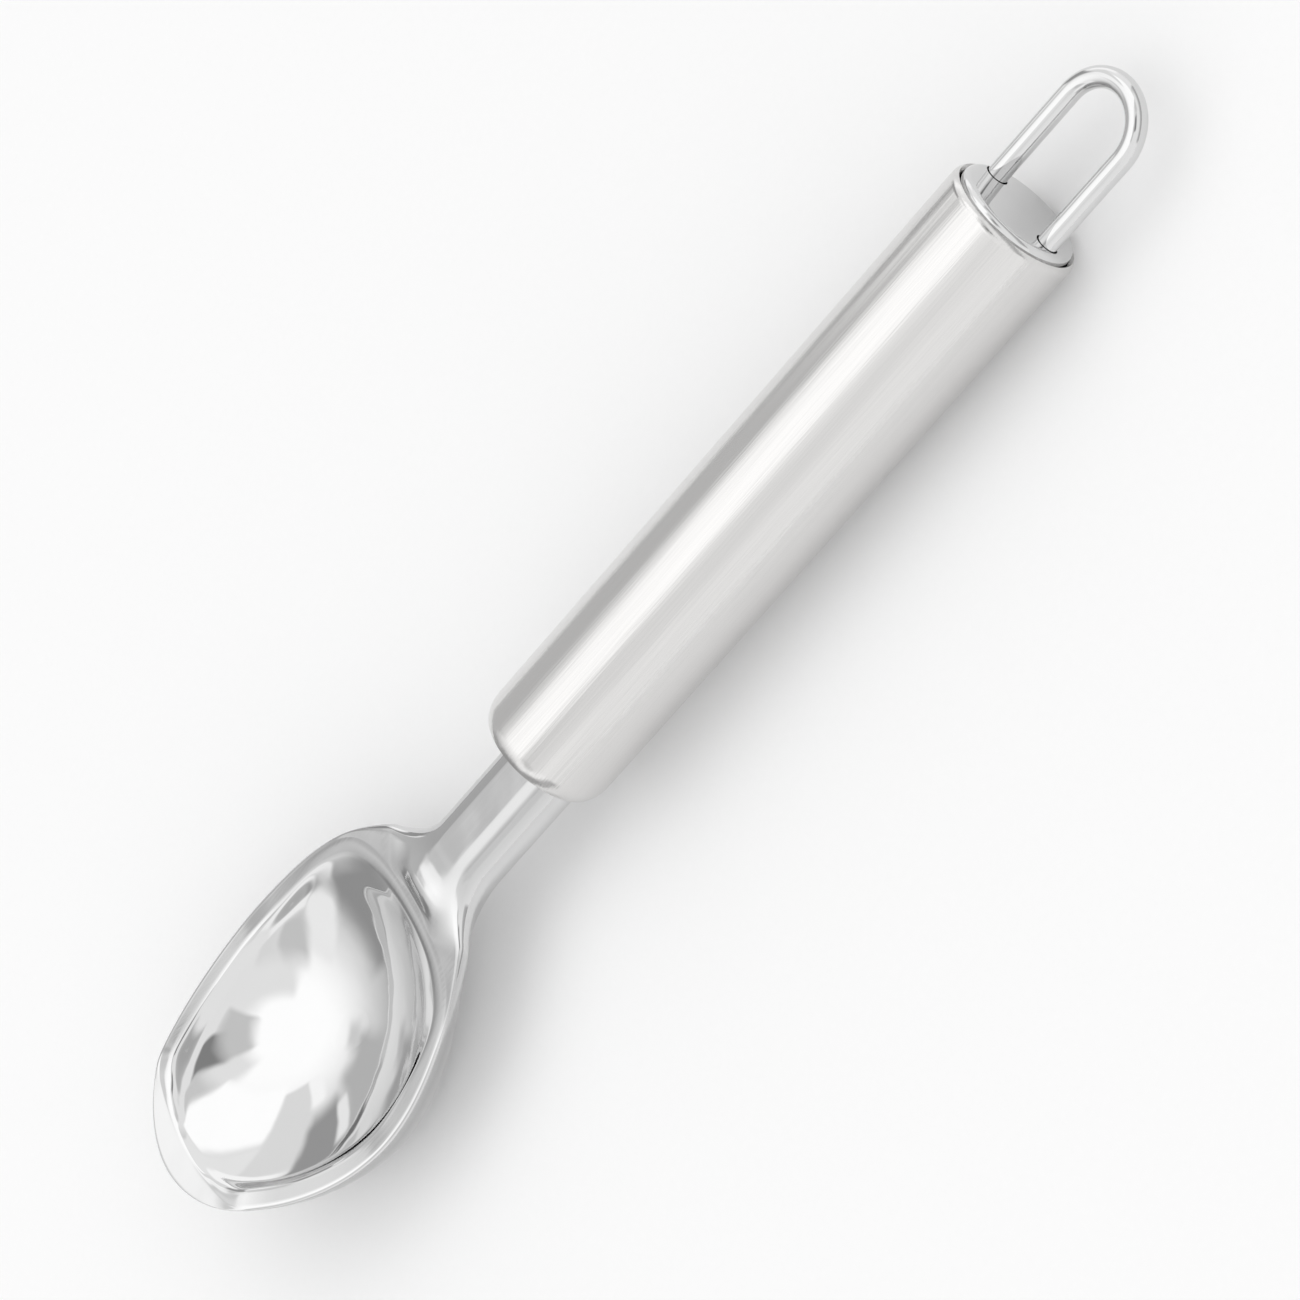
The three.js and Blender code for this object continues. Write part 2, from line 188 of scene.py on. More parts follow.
# How crisp the crest and the outer edge stay, at the tip and along the flanks
CREST_CREASE = (0.8, 0.45)
EDGE_CREASE = (0.7, 0.5)

# Ground places, whose colour also carries painted shade: columns over which they start and end, millimetres
# along the neck, and how much is ground and shaded
GROUND_AND_SHADE_START = 8
GROUND_AND_SHADE_START_RUN = 5
OUTER_GROUND_AND_SHADE = 0.7
OUTER_GROUND_AND_SHADE_RUN = 8
EAR_GROUND_AND_SHADE_RUN = 6
NECK_GROUND_AND_SHADE = 0.6
NECK_GROUND_AND_SHADE_END = 28.0
NECK_GROUND_AND_SHADE_RUN = 6.0
EAR_GROUND_AND_SHADE_EDGE = 2.0


def tool_frame():
    """Matrix from the tool frame, in millimetres along the handle, to the part frame, in metres."""
    mount = next(m for m in frame["record"]["mounts"] if m["name"] == "end_face")
    back = Vector(mount["axis"])
    turn = Matrix.Rotation(-math.atan2(-back.z, -back.x), 4, "Y")
    handle = bpy.context.scene.scoop_handle
    face = turn @ Vector((-handle.tube_length - CAP_PROUD * MM, 0, END_FACE_HEIGHT * MM))
    return Matrix.Translation(Vector(mount["pos_m"]) - face) @ turn @ Matrix.Scale(MM, 4)


# Modelling helpers: a piece grows ring by ring, each ring extruded from the last and put in place


def start_ring(name, points):
    """A new mesh in edit mode whose first loop lies at these points of the tool frame."""
    bpy.ops.object.select_all(action="DESELECT")
    bpy.ops.mesh.primitive_circle_add(vertices=len(points), fill_type="NOTHING", enter_editmode=True)
    piece = bpy.context.object
    piece.name = name
    piece.data.name = name
    piece.matrix_world = Matrix.Identity(4)
    mesh = bmesh.from_edit_mesh(piece.data)
    ring = mesh.verts.layers.int.new("ring")
    column = mesh.verts.layers.int.new("column")
    place = tool_frame()
    for i, vertex in enumerate(mesh.verts):
        vertex[ring] = FIRST_RING
        vertex[column] = i
        vertex.co = place @ Vector(points[i])
    bmesh.update_edit_mesh(piece.data)
    bpy.ops.mesh.select_mode(type="EDGE")
    bpy.ops.mesh.select_all(action="SELECT")
    return piece


def numbered(piece):
    """The mesh in edit mode and the layers that hold its vertices' ring and column."""
    mesh = bmesh.from_edit_mesh(piece.data)
    return mesh, mesh.verts.layers.int["ring"], mesh.verts.layers.int["column"]


def next_ring(piece, points, number):
    """Extrudes the selected loop and puts its vertices at these points, by column."""
    bpy.ops.mesh.extrude_edges_move()
    mesh, ring, column = numbered(piece)
    place = tool_frame()
    for vertex in mesh.verts:
        if vertex.select:
            vertex[ring] = number
            vertex.co = place @ Vector(points[vertex[column]])
    bmesh.update_edit_mesh(piece.data)


def draw_through(piece, rings):
    """Extrudes a piece's first loop through these rings."""
    for number, points in enumerate(rings, FIRST_RING + 1):
        next_ring(piece, points, number)


def select_ring(piece, number):
    """Selects the edges that run along one ring."""
    bpy.ops.mesh.select_all(action="DESELECT")
    mesh, ring, _ = numbered(piece)
    for edge in mesh.edges:
        edge.select = all(vertex[ring] == number for vertex in edge.verts)
    mesh.select_flush_mode()
    bmesh.update_edit_mesh(piece.data)


def select_open_edges():
    """Selects the edges that have a face on one side only."""
    bpy.ops.mesh.select_mode(type="EDGE")
    bpy.ops.mesh.select_all(action="DESELECT")
    bpy.ops.mesh.select_non_manifold(
        use_wire=False, use_multi_face=False, use_non_contiguous=False, use_verts=False
    )


def close_piece(piece):
    """Turns the faces outwards and leaves edit mode with smooth shading across all but sharp edges."""
    bpy.ops.mesh.select_all(action="SELECT")
    bpy.ops.mesh.remove_doubles(threshold=WELD)
    bpy.ops.mesh.normals_make_consistent(inside=False)
    bpy.ops.object.mode_set(mode="OBJECT")
    bpy.ops.object.shade_smooth_by_angle(angle=math.radians(SMOOTH_BELOW))
    drop_numbers(piece)


def drop_numbers(piece):
    """Removes the ring and column numbers, which only the modelling needs."""
    for name in ("ring", "column"):
        piece.data.attributes.remove(piece.data.attributes[name])


def solid(name, rings):
    """A piece drawn through these rings, with a face at each end."""
    piece = start_ring(name, rings[0])
    bpy.ops.mesh.edge_face_add()
    select_ring(piece, FIRST_RING)
    draw_through(piece, rings[1:])
    bpy.ops.mesh.edge_face_add()
    close_piece(piece)
    return piece


def pipe(name, rings):
    """A piece drawn through these rings, down the inside and back along the outside, and joined up."""
    piece = start_ring(name, rings[0])
    draw_through(piece, rings[1:])
    select_open_edges()
    bpy.ops.mesh.bridge_edge_loops()
    close_piece(piece)
    return piece


def turned(profile, steps):
    """Rings about the handle's axis through (x, radius) points."""
    angles = [2 * math.pi * i / steps for i in range(steps)]
    return [[(x, r * math.cos(a), r * math.sin(a)) for a in angles] for x, r in profile]


def apply_modifier(piece, kind, **settings):
    """Adds a modifier with these settings and applies it."""
    bpy.ops.object.select_all(action="DESELECT")
    bpy.context.view_layer.objects.active = piece
    piece.select_set(True)
    modifier = piece.modifiers.new(kind.title(), kind)
    for key, value in settings.items():
        setattr(modifier, key, value)
    bpy.ops.object.modifier_apply(modifier=modifier.name)


def cut_away(piece, cutters):
    """Cuts these pieces' shapes out of a piece and removes them."""
    for cutter in cutters:
        apply_modifier(piece, "BOOLEAN", operation="DIFFERENCE", solver="EXACT", object=cutter)
        bpy.data.objects.remove(cutter)


def finish_piece(piece, material, slot, *nodes):
    """Gives a piece its finish and lets it stand for its CAD nodes; one with an open skin is an error."""
    mesh = bmesh.new()
    mesh.from_mesh(piece.data)
    closed = all(edge.is_manifold for edge in mesh.edges)
    mesh.free()
    if not closed:
        raise RuntimeError(f"The skin of {piece.name} is open")
    piece.data.materials.clear()
    piece.data.materials.append(material)
    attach(piece, "root")
    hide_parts(*nodes)


def arc(x, radius, size, start, end, steps):
    """(x, radius) points of an arc about a centre, in degrees from straight out towards the bowl."""
    turns = [math.radians(start + (end - start) * i / steps) for i in range(steps + 1)]
    return [(x + size * math.sin(t), radius + size * math.cos(t)) for t in turns]


# Handle sizes that follow from the settings, in millimetres


def shoulder_arc(size, start, end):
    """Arc of the tube's spun-in front."""
    radius = bpy.context.scene.scoop_handle.tube_diameter / MM / 2 - SHOULDER_RADIUS
    x = -SHOULDER_RADIUS * math.sin(math.radians(SHOULDER_SWEEP))
    return arc(x, radius, size, start, end, ARC_STEPS)


def roll_arc(size, start, end):
    """Arc of the tube's rolled rear edge."""
    handle = bpy.context.scene.scoop_handle
    radius = handle.tube_diameter / MM / 2 - ROLL_RADIUS
    x = ROLL_RADIUS * math.sin(math.radians(ROLL_SWEEP)) - handle.tube_length / MM
    return arc(x, radius, size, start, end, ARC_STEPS)


def cap_face():
    """Where the cap's flat lies along the handle."""
    return -bpy.context.scene.scoop_handle.tube_length / MM - CAP_PROUD


def cap_radius():
    """Radius of the cap inside the tube's rolled edge."""
    return roll_arc(ROLL_RADIUS - TUBE_WALL, 0, -ROLL_SWEEP)[-1][1] - CAP_GAP


def leg_y():
    """How far each leg of the loop stands from the middle."""
    return cap_radius() - LEG_EDGE - bpy.context.scene.scoop_handle.wire_diameter / MM / 2


def leg_drill(side):
    """A cutter for the hole of the leg on one side of the cap."""
    radius = bpy.context.scene.scoop_handle.wire_diameter / MM / 2 + LEG_HOLE_GAP
    ends = [(cap_face() - CAP_EDGE, radius), (cap_face() + CAP_DEPTH, radius)]
    piece = solid("drill", turned(ends, LEG_HOLE_STEPS))
    piece.data.transform(Matrix.Translation(tool_frame().to_3x3() @ Vector((0, side * leg_y(), 0))))
    return piece


# Bowl outlines and walls


def egg_outline(front, rear, half, rear_fullness, front_fullness=FRONT_FULLNESS):
    """Half an egg outline from the tip to the rear, as (u, w) points from the bowl's middle."""
    points = []
    for i in range(EGG_STEPS + 1):
        angle = math.pi * i / EGG_STEPS
        along, across = math.cos(angle), abs(math.sin(angle))
        power = 2 / (front_fullness if along > 0 else rear_fullness)
        reach = front if along > 0 else rear
        points.append((math.copysign(reach * abs(along) ** power, along), half * across**power))
    return points


def between(start, end, t):
    """The point this part of the way from one point to another."""
    return tuple(a + (b - a) * t for a, b in zip(start, end))


def resample(points, stops):
    """Points at these parts of a line's whole length."""
    lengths = [0.0]
    for a, b in zip(points, points[1:]):
        lengths.append(lengths[-1] + math.dist(a, b))
    result = []
    k = 0
    for stop in stops:
        goal = stop * lengths[-1]
        while k < len(points) - 2 and lengths[k + 1] < goal:
            k += 1
        span = lengths[k + 1] - lengths[k]
        t = (goal - lengths[k]) / span if span else 0.0
        result.append(between(points[k], points[k + 1], min(max(t, 0.0), 1.0)))
    return result


def smooth_step(value):
    """0 to 1 with level ends."""
    value = min(max(value, 0.0), 1.0)
    return value * value * (3 - 2 * value)


def look_up(table, value):
    """Value of a smooth line through (place, value) pairs."""
    for (x0, y0), (x1, y1) in zip(table, table[1:]):
        if value <= x1:
            return y0 + (y1 - y0) * smooth_step((value - x0) / (x1 - x0))
    return table[-1][1]


def edge_rise(u, front):
    """How far the bowl's edge lies above its level at the widest place."""
    if u > 0:
        return TIP_RISE * (u / front) ** 2
    return REAR_RISE * (1 - math.cos(math.pi * min(-u / REAR_RISE_RUN, 1))) / 2


def fallen(slopes, place):
    """How far a line falls by a place, its slope running straight between (place, slope) pairs."""
    fall = 0.0
    for (x0, s0), (x1, s1) in zip(slopes, slopes[1:]):
        end = min(max(place, x0), x1)
        slope = s0 + (s1 - s0) * (end - x0) / (x1 - x0)
        fall += (end - x0) * (s0 + slope) / 2
    return fall


def lip_slopes(band, steep):
    """Slope across the lip: it rolls over from the land, runs straight and eases into the hollow."""
    return (0, 0), (LIP_BENDS[0], band), (LIP_BENDS[1], band), (1, steep)


def arm_part(column):
    """How far a column lies along the fishtail's arm, 0 where the flank ends to 1 at the ear."""
    return smooth_step((column - FLANK_END) / (EAR - FLANK_END))


def below_level(line, level):
    """The part of a falling line of points that lies below a level."""
    for i in range(len(line) - 1, 0, -1):
        a, b = line[i - 1], line[i]
        if a[2] > level >= b[2]:
            t = (a[2] - level) / (a[2] - b[2])
            return [between(a, b, t), *line[i:]]
    return line


class Bowl:
    """Lines of the bowl in the tool frame, one per column from the tip round to the rear."""

    def __init__(self, head):
        self.front = head.bowl_front / MM
        self.rear = head.bowl_rear / MM
        self.half = head.bowl_half_width / MM
        self.bottom = RIM_LEVEL - head.bowl_depth / MM
        self.floor = self.bottom + head.bowl_wall / MM
        self.edge = egg_outline(self.front, self.rear, self.half, REAR_FULLNESS)
        self.stops = [i / REAR for i in range(REAR + 1)]
        self.crest = self.inner_outline(0)
        self.edge_points = self.columns_on_edge()
        self.land_end = []
        for near, far in zip(*(self.inner_outline(width) for width in LAND_WIDTH)):
            t = smooth_step((LAND_NARROWS_FROM - near[0]) / LAND_NARROWS_RUN)
            self.land_end.append(between(near, far, t))
        front = self.front - EDGE_WIDTH - TIP_FLAT_WIDTH - TIP_LIP_WIDTH
        rear = CREST_REAR - LAND_WIDTH[1] - LIP_WIDTH[1]
        half = self.half - EDGE_WIDTH - LAND_WIDTH[0] - LIP_WIDTH[0]
        top = egg_outline(front, rear, half, HOLLOW_REAR_FULLNESS, HOLLOW_FRONT_FULLNESS)
        self.hollow_top = resample(top, self.stops)
        level = RIM_LEVEL + EDGE_HEIGHT
        rear_level = level + edge_rise(-CREST_REAR, self.front)
        self.front_bend = (TIP_LEVEL - TIP_LIP_FALL - self.floor) / front**2
        self.rear_bend = (rear_level - LIP_FALL[1] - self.floor) / rear**2
        self.side_bend = (level - LIP_FALL[0] - self.floor) / half**2

    def dish(self, u, w):
        """Height of the hollow below its lip, a parabola each way."""
        return self.floor + (self.front_bend if u > 0 else self.rear_bend) * u * u + self.side_bend * w * w

    def edge_half(self, u):
        """Half width of the outer edge behind the widest place."""
        return self.half * max(1 - (-u / self.rear) ** REAR_FULLNESS, 0) ** (1 / REAR_FULLNESS)

    def inner_outline(self, inset):
        """Columns of the crest line, or of a line this far inside it."""
        margin = EDGE_WIDTH + inset
        outline = []
        front, half = self.front - margin, self.half - margin
        for u, w in egg_outline(front, CREST_REAR - inset, half, CREST_FULLNESS):
            # Behind the widest place, the narrower of this outline and the edge's, rounded where they cross
            if u < 0:
                other = self.edge_half(u) - margin
                blend = CREST_BLEND * min(-u / CREST_BLEND_RUN, 1) + SMALLEST_BLEND
                near = max(blend - abs(w - other), 0) / blend
                w = max(min(w, other) - near * near * blend / 4, 0)
            outline.append((u, w))
        return resample(outline, self.stops)

    def columns_on_edge(self):
        """Columns of the outer edge: beside the crest along the flank, then on to the ear and the rear."""
        picks = []
        for u, w in self.crest[: FLANK_END + 1]:
            picks.append(min(range(len(self.edge)), key=lambda k: math.dist(self.edge[k], (u, w))))
        flank = [self.edge[k] for k in picks]
        ear = round(EAR_ANGLE / 180 * EGG_STEPS)
        steps = EAR - FLANK_END
        arm = resample(self.edge[picks[-1] : ear + 1], [i / steps for i in range(1, steps + 1)])
        turn = (EGG_STEPS - ear) / (REAR - EAR)
        rest = [self.edge[min(round(ear + turn * i), EGG_STEPS)] for i in range(1, REAR - EAR + 1)]
        return flank + arm + rest

    def dome_line(self, column):
        """Outside of the bowl from its edge down to a small ring at the bottom."""
        u, w = self.edge_points[column]
        behind = min(max(-u / self.rear, 0), 1) ** (REAR_FULLNESS / 2)
        inward, down = between(*DOME_WALL, behind)
        last = math.acos(SMALLEST_RING ** (inward / 2))
        rise = edge_rise(u, self.front)
        line = []
        for i in range(LINE_STEPS + 1):
            turn = last * i / LINE_STEPS
            scale = math.cos(turn) ** (2 / inward)
            drop = math.sin(turn) ** (2 / down)
            z = RIM_LEVEL + (self.bottom - RIM_LEVEL) * drop + rise * (1 - drop)
            line.append((BOWL_MIDDLE + u * scale, w * scale, z))
        return below_level(line, TIP_LEVEL)

    def tip_flat(self, column):
        """Width of the ground flat at the tip, 0 along the rest of the rim."""
        u, w = self.edge_points[column]
        return TIP_FLAT_WIDTH * max(1 - (w / TIP_FLAT_HALF) ** 2, 0) if u > 0 else 0.0

    def hollow_side(self, column):
        """Level of the rim, widths of the tip's flat, land and lip, and slopes across the lip."""
        crest, land_end, top = self.crest[column], self.land_end[column], self.hollow_top[column]
        land, lip = math.dist(crest, land_end), math.dist(land_end, top)
        flat = self.tip_flat(column)
        left = max(1 - flat / (land + lip), SMALLEST_LAND)
        inward = [(b - a) / lip for a, b in zip(land_end, top)]
        bend = self.front_bend if top[0] > 0 else self.rear_bend
        steep = -2 * (bend * top[0] * inward[0] + self.side_bend * top[1] * inward[1])
        level = min(RIM_LEVEL + EDGE_HEIGHT + edge_rise(crest[0], self.front), TIP_LEVEL)
        # The straight band's slope brings the lip from the rim's level down to the hollow's top
        ease = fallen(lip_slopes(0, steep), 1)
        band = ((level - self.dish(*top)) / (lip * left) - ease) / fallen(lip_slopes(1, 0), 1)
        return level, flat, land * left, lip * left, lip_slopes(band, steep)

    def hollow_line(self, column):
        """Inside of the bowl from the crest over the land and the lip to a small ring at the bottom."""
        crest, land_end, top = self.crest[column], self.land_end[column], self.hollow_top[column]
        level, flat, land, lip, slopes = self.hollow_side(column)
        land_whole, lip_whole = math.dist(crest, land_end), math.dist(land_end, top)
        line = []
        for i in range(LAND_STEPS + LIP_STEPS + 1):
            t = max(i - LAND_STEPS, 0) / LIP_STEPS
            inward = flat + land * min(i / LAND_STEPS, 1) + lip * t
            if inward <= land_whole:
                u, w = between(crest, land_end, inward / land_whole)
            else:
                u, w = between(land_end, top, (inward - land_whole) / lip_whole)
            line.append((BOWL_MIDDLE + u, w, level - lip * fallen(slopes, t)))
        for i in range(1, LINE_STEPS + 1):
            u, w = between(top, (0, 0), (1 - SMALLEST_RING) * i / LINE_STEPS)
            line.append((BOWL_MIDDLE + u, w, self.dish(u, w)))
        return line


def both_sides(half):
    """A whole ring from its half between the tip and the rear."""
    return half + [(x, -y, z) for x, y, z in reversed(half[1:-1])]


# Parts of each line's length at which the rings lie
HOLLOW_STOPS = (0.013, 0.045, 0.08, 0.105, 0.13, 0.16, 0.19, 0.225, 0.27, 0.32, 0.375)
HOLLOW_STOPS += (0.435, 0.5, 0.565, 0.63, 0.695, 0.76, 0.825, 0.885, 0.94, 1.0)
DOME_STOPS = (0.06, 0.14, 0.23, 0.33, 0.43, 0.53, 0.63, 0.73, 0.82, 0.91, 1.0)

# Height of the neck's rounded nose along the middle, from the rim, 0, to the straight neck, 1
NOSE = (
    (0, -0.34), (0.05, -0.36), (0.1, -0.1), (0.17, 0.6), (0.25, 1.18), (0.34, 1.46), (0.43, 1.44),
    (0.52, 1.31), (0.62, 1.22), (0.74, 1.26), (0.87, 1.35), (1, 1.4),
)

# The nose's half width in millimetres, how sharply its sides end, and the rows of faces along the neck
NOSE_HALF = 3.8
NOSE_EDGE = 4
NECK_ROWS = tuple(t for t, z in NOSE[1:])
NECK_STATIONS = (12.0, 5.0, 1.4, -0.5)


def neck_section():
    """Where each line of the neck runs, (y, z), by ring and by column for one side."""
    cut = 1 - math.sqrt(0.5)
    bend, shoulder = NECK_CORNER * cut, NECK_SHOULDER * cut
    flat = NECK_HALF - NECK_SHOULDER
    low, high = NECK_BOTTOM + NECK_CORNER, NECK_TOP - NECK_SHOULDER
    columns = REAR - EAR + 1
    section = {(CREST_RING, EAR + i): (flat * (1 - (i + 1) / columns), NECK_TOP) for i in range(columns)}
    side = (
        (flat, NECK_TOP), (NECK_HALF - shoulder, NECK_TOP - shoulder), (NECK_HALF, high),
        (NECK_HALF, (low + high) / 2), (NECK_HALF, low), (NECK_HALF - bend, NECK_BOTTOM + bend),
    )
    section.update({(number, EAR): point for number, point in enumerate(side, CREST_RING + 1)})
    section.update({(NECK_RING, EAR + i): (y, NECK_BOTTOM) for i, y in enumerate(NECK_UNDERSIDE, 1)})
    return section


def grow_neck(piece):
    """Opens the rear of the bowl's outside and draws the fishtail and the neck out of it."""
    bpy.ops.mesh.select_mode(type="FACE")
    bpy.ops.mesh.select_all(action="DESELECT")
    mesh, ring, column = numbered(piece)
    for face in mesh.faces:
        face.select = all(
            CREST_RING <= v[ring] <= NECK_RING and EAR <= v[column] <= COLUMNS - EAR for v in face.verts
        )
    bmesh.update_edit_mesh(piece.data)
    bpy.ops.mesh.delete(type="FACE")
    select_open_edges()
    place = tool_frame()
    back = place.inverted()
    mesh, ring, column = numbered(piece)
    roots = {(v[ring], v[column]): back @ v.co for v in mesh.verts if v.select}
    section = neck_section()
    rows = [(t, None) for t in NECK_ROWS] + [(1.0, x) for x in NECK_STATIONS]
    for t, station in rows:
        bpy.ops.mesh.extrude_edges_move()
        mesh, ring, column = numbered(piece)
        for vertex in mesh.verts:
            if not vertex.select:
                continue
            key = vertex[ring], vertex[column]
            root = roots[key]
            side = 1 if key[1] <= REAR else -1
            y, z = section[key[0], key[1] if side > 0 else COLUMNS - key[1]]
            x = root.x + (NECK_STRAIGHT - root.x) * t
            if station is not None:
                x = station
            across = side * y + (root.y - side * y) * (1 - t) ** FISHTAIL_SPREAD
            height = z + (root.z - z) * (1 - t) ** FISHTAIL_FALL
            if key[0] in NECK_TOP_RINGS:
                weight = math.exp(-((across / NOSE_HALF) ** NOSE_EDGE))
                height += (look_up(NOSE, t) - height) * weight
            vertex.co = place @ Vector((x, across, height))
        bmesh.update_edit_mesh(piece.data)
    bpy.ops.mesh.edge_face_add()


def fill_middle(piece, ring_number, middle):
    """Closes a small ring with a grid of faces that carries on the wall's sweep to the lowest point."""
    select_ring(piece, ring_number)
    count = len(bmesh.from_edit_mesh(piece.data).verts)
    bpy.ops.mesh.fill_grid(span=MIDDLE_SPAN)
    place = tool_frame()
    back = place.inverted()
    mesh, ring, _ = numbered(piece)
    mesh.verts.ensure_lookup_table()
    around = []
    for vertex in mesh.verts[:count]:
        if vertex[ring] == ring_number:
            p = back @ vertex.co - middle
            around.append((math.atan2(p.y, p.x), math.hypot(p.x, p.y), p.z))
    around.sort()
    around = [(around[-1][0] - 2 * math.pi, *around[-1][1:]), *around]
    around.append((around[1][0] + 2 * math.pi, *around[1][1:]))
    for vertex in mesh.verts[count:]:
        p = back @ vertex.co - middle
        angle = math.atan2(p.y, p.x)
        k = next(i for i in range(len(around) - 1) if angle <= around[i + 1][0])
        a, b = around[k], around[k + 1]
        t = (angle - a[0]) / (b[0] - a[0])
        reach, lift = (a[i] + (b[i] - a[i]) * t for i in (1, 2))
        p.z = lift * (math.hypot(p.x, p.y) / reach) ** 2
        vertex.co = place @ (p + middle)
        vertex[ring] = MIDDLE_RING
    bmesh.update_edit_mesh(piece.data)


def crease_head(piece):
    """Keeps the tip's flat, the crest and the outer edge crisp when the cage is smoothed."""
    mesh, ring, column = numbered(piece)
    layers = mesh.edges.layers.float
    crease = layers.get("crease_edge") or layers.new("crease_edge")
    for edge in mesh.edges:
        numbers = {v[ring] for v in edge.verts}
        around = max(min(v[column], COLUMNS - v[column]) for v in edge.verts)
        tip = around < TIP_END
        if numbers == {CREST_RING}:
            edge[crease] = CREST_CREASE[0] if tip else CREST_CREASE[1]
        if numbers == {EDGE_RING} and around <= EAR:
            edge[crease] = EDGE_CREASE[0] if tip else EDGE_CREASE[1] * (1 - arm_part(around))
    bmesh.update_edit_mesh(piece.data)


def mark_ground_and_shade(piece):
    """Notes where the casting is ground and hardly buffed, and where its colour is darkened as painted
    shade: the rim's land and edge, and the neck's top.
    """
    bmesh.from_edit_mesh(piece.data).verts.layers.float.new("ground_and_shade")
    mesh, ring, column = numbered(piece)
    ground_and_shade = mesh.verts.layers.float["ground_and_shade"]
    back = tool_frame().inverted()
    for vertex in mesh.verts:
        around = min(vertex[column], COLUMNS - vertex[column])
        past_tip = smooth_step((around - GROUND_AND_SHADE_START) / GROUND_AND_SHADE_START_RUN)
        if vertex[ring] in LAND_RINGS:
            vertex[ground_and_shade] = past_tip
        elif vertex[ring] in OUTER_RINGS:
            flank = 1 - smooth_step((around - FLANK_END) / OUTER_GROUND_AND_SHADE_RUN)
            vertex[ground_and_shade] = OUTER_GROUND_AND_SHADE * past_tip * flank
        elif vertex[ring] in NECK_TOP_RINGS:
            ahead = (back @ vertex.co).x - NECK_GROUND_AND_SHADE_END
            bar = NECK_GROUND_AND_SHADE * smooth_step(-ahead / NECK_GROUND_AND_SHADE_RUN)
            arms = smooth_step((around - FLANK_END) / EAR_GROUND_AND_SHADE_RUN) * smooth_step(ahead / EAR_GROUND_AND_SHADE_EDGE)
            vertex[ground_and_shade] = max(bar, arms)
    bmesh.update_edit_mesh(piece.data)


def sweep_down(piece, lines, stops, first, bottom):
    """Rings at these parts of the lines, one line per column, closed over the lowest point."""
    columns = [resample(line, stops) for line in lines]
    for k in range(len(stops)):
        next_ring(piece, both_sides([points[k] for points in columns]), first + k)
    fill_middle(piece, first + len(stops) - 1, Vector((BOWL_MIDDLE, 0, bottom)))


def build_bowl():
    """The bowl with its rim, fishtail and neck as one smooth skin."""
    bowl = Bowl(bpy.context.scene.scoop_head)
    hollow_lines = [bowl.hollow_line(i) for i in range(REAR + 1)]
    dome_lines = [bowl.dome_line(i) for i in range(REAR + 1)]
    crest = [line[0] for line in hollow_lines]
    edge = []
    for i, ((x, y, z), *_) in enumerate(dome_lines):
        edge.append((x, y, z + TIP_FLAT_LEAN * bowl.tip_flat(i)))
    piece = start_ring("scoop_head_polished", both_sides(crest))
    for number, (flank, ear, lift) in enumerate(RIDGES, CREST_RING + 1):
        ridge = []
        for i in range(REAR + 1):
            arm = arm_part(i)
            x, y, z = between(crest[i], edge[i], flank + (ear - flank) * arm)
            if not bowl.tip_flat(i):
                z += FLANK_LIFT * (1 - arm) + lift * arm
            ridge.append((x, y, z))
        next_ring(piece, both_sides(ridge), number)
    lowered = [(x, y, z - EAR_DROP * arm_part(i)) for i, (x, y, z) in enumerate(edge)]
    next_ring(piece, both_sides(lowered), EDGE_RING)
    sweep_down(piece, dome_lines, DOME_STOPS, DOME_RING, bowl.bottom)
    select_ring(piece, CREST_RING)
    sweep_down(piece, hollow_lines, HOLLOW_STOPS, HOLLOW_RING, bowl.floor)
    crease_head(piece)
    grow_neck(piece)
    mark_ground_and_shade(piece)
    bpy.ops.mesh.select_all(action="SELECT")
    bpy.ops.mesh.normals_make_consistent(inside=False)
    bpy.ops.object.mode_set(mode="OBJECT")
    apply_modifier(piece, "SUBSURF", levels=2, render_levels=2)
    bpy.ops.object.shade_smooth()
    drop_numbers(piece)
    return piece


def tang_section(x, inset):
    """Section of the tang at a place along the handle, with rounded corners."""
    points = []
    for quarter, (sy, sz) in enumerate(((1, 1), (-1, 1), (-1, -1), (1, -1))):
        y = sy * (TANG_WIDTH / 2 - inset - TANG_CORNER)
        z = sz * (TANG_THICKNESS / 2 - inset - TANG_CORNER)
        for i in range(CORNER_STEPS + 1):
            angle = math.pi / 2 * (quarter + i / CORNER_STEPS)
            points.append((x, y + TANG_CORNER * math.cos(angle), z + TANG_CORNER * math.sin(angle)))
    return points


def build_collar_and_tang():
    """The collar that closes the tube's mouth and the tang that goes on inside the handle."""
    radius = shoulder_arc(SHOULDER_RADIUS - TUBE_WALL, 0, SHOULDER_SWEEP)[-1][1] - COLLAR_GAP
    corner = COLLAR_PROUD - COLLAR_EDGE
    edge = arc(corner, radius - COLLAR_EDGE, COLLAR_EDGE, 0, 90, COLLAR_EDGE_STEPS)
    collar = solid("collar", turned([(-COLLAR_DEPTH, radius), *edge], COLLAR_STEPS))
    stations = ((-COLLAR_DEPTH / 2, 0), (TANG_BEVEL - TANG_LENGTH, 0), (-TANG_LENGTH, TANG_BEVEL))
    tang = solid("tang", [tang_section(x, inset) for x, inset in stations])
    place = tool_frame()
    bpy.ops.object.select_all(action="DESELECT")
    bpy.ops.mesh.primitive_cylinder_add(
        vertices=PIN_HOLE_STEPS, radius=PIN_HOLE_RADIUS * MM, depth=PIN_HOLE_LENGTH * MM
    )
    drill = bpy.context.object
    turn = place.to_3x3().normalized().to_4x4()
    drill.data.transform(Matrix.Translation(place @ Vector((-PIN_SETBACK, 0, 0))) @ turn)
    drill.matrix_world = Matrix.Identity(4)
    cut_away(tang, [drill])
    return collar, tang


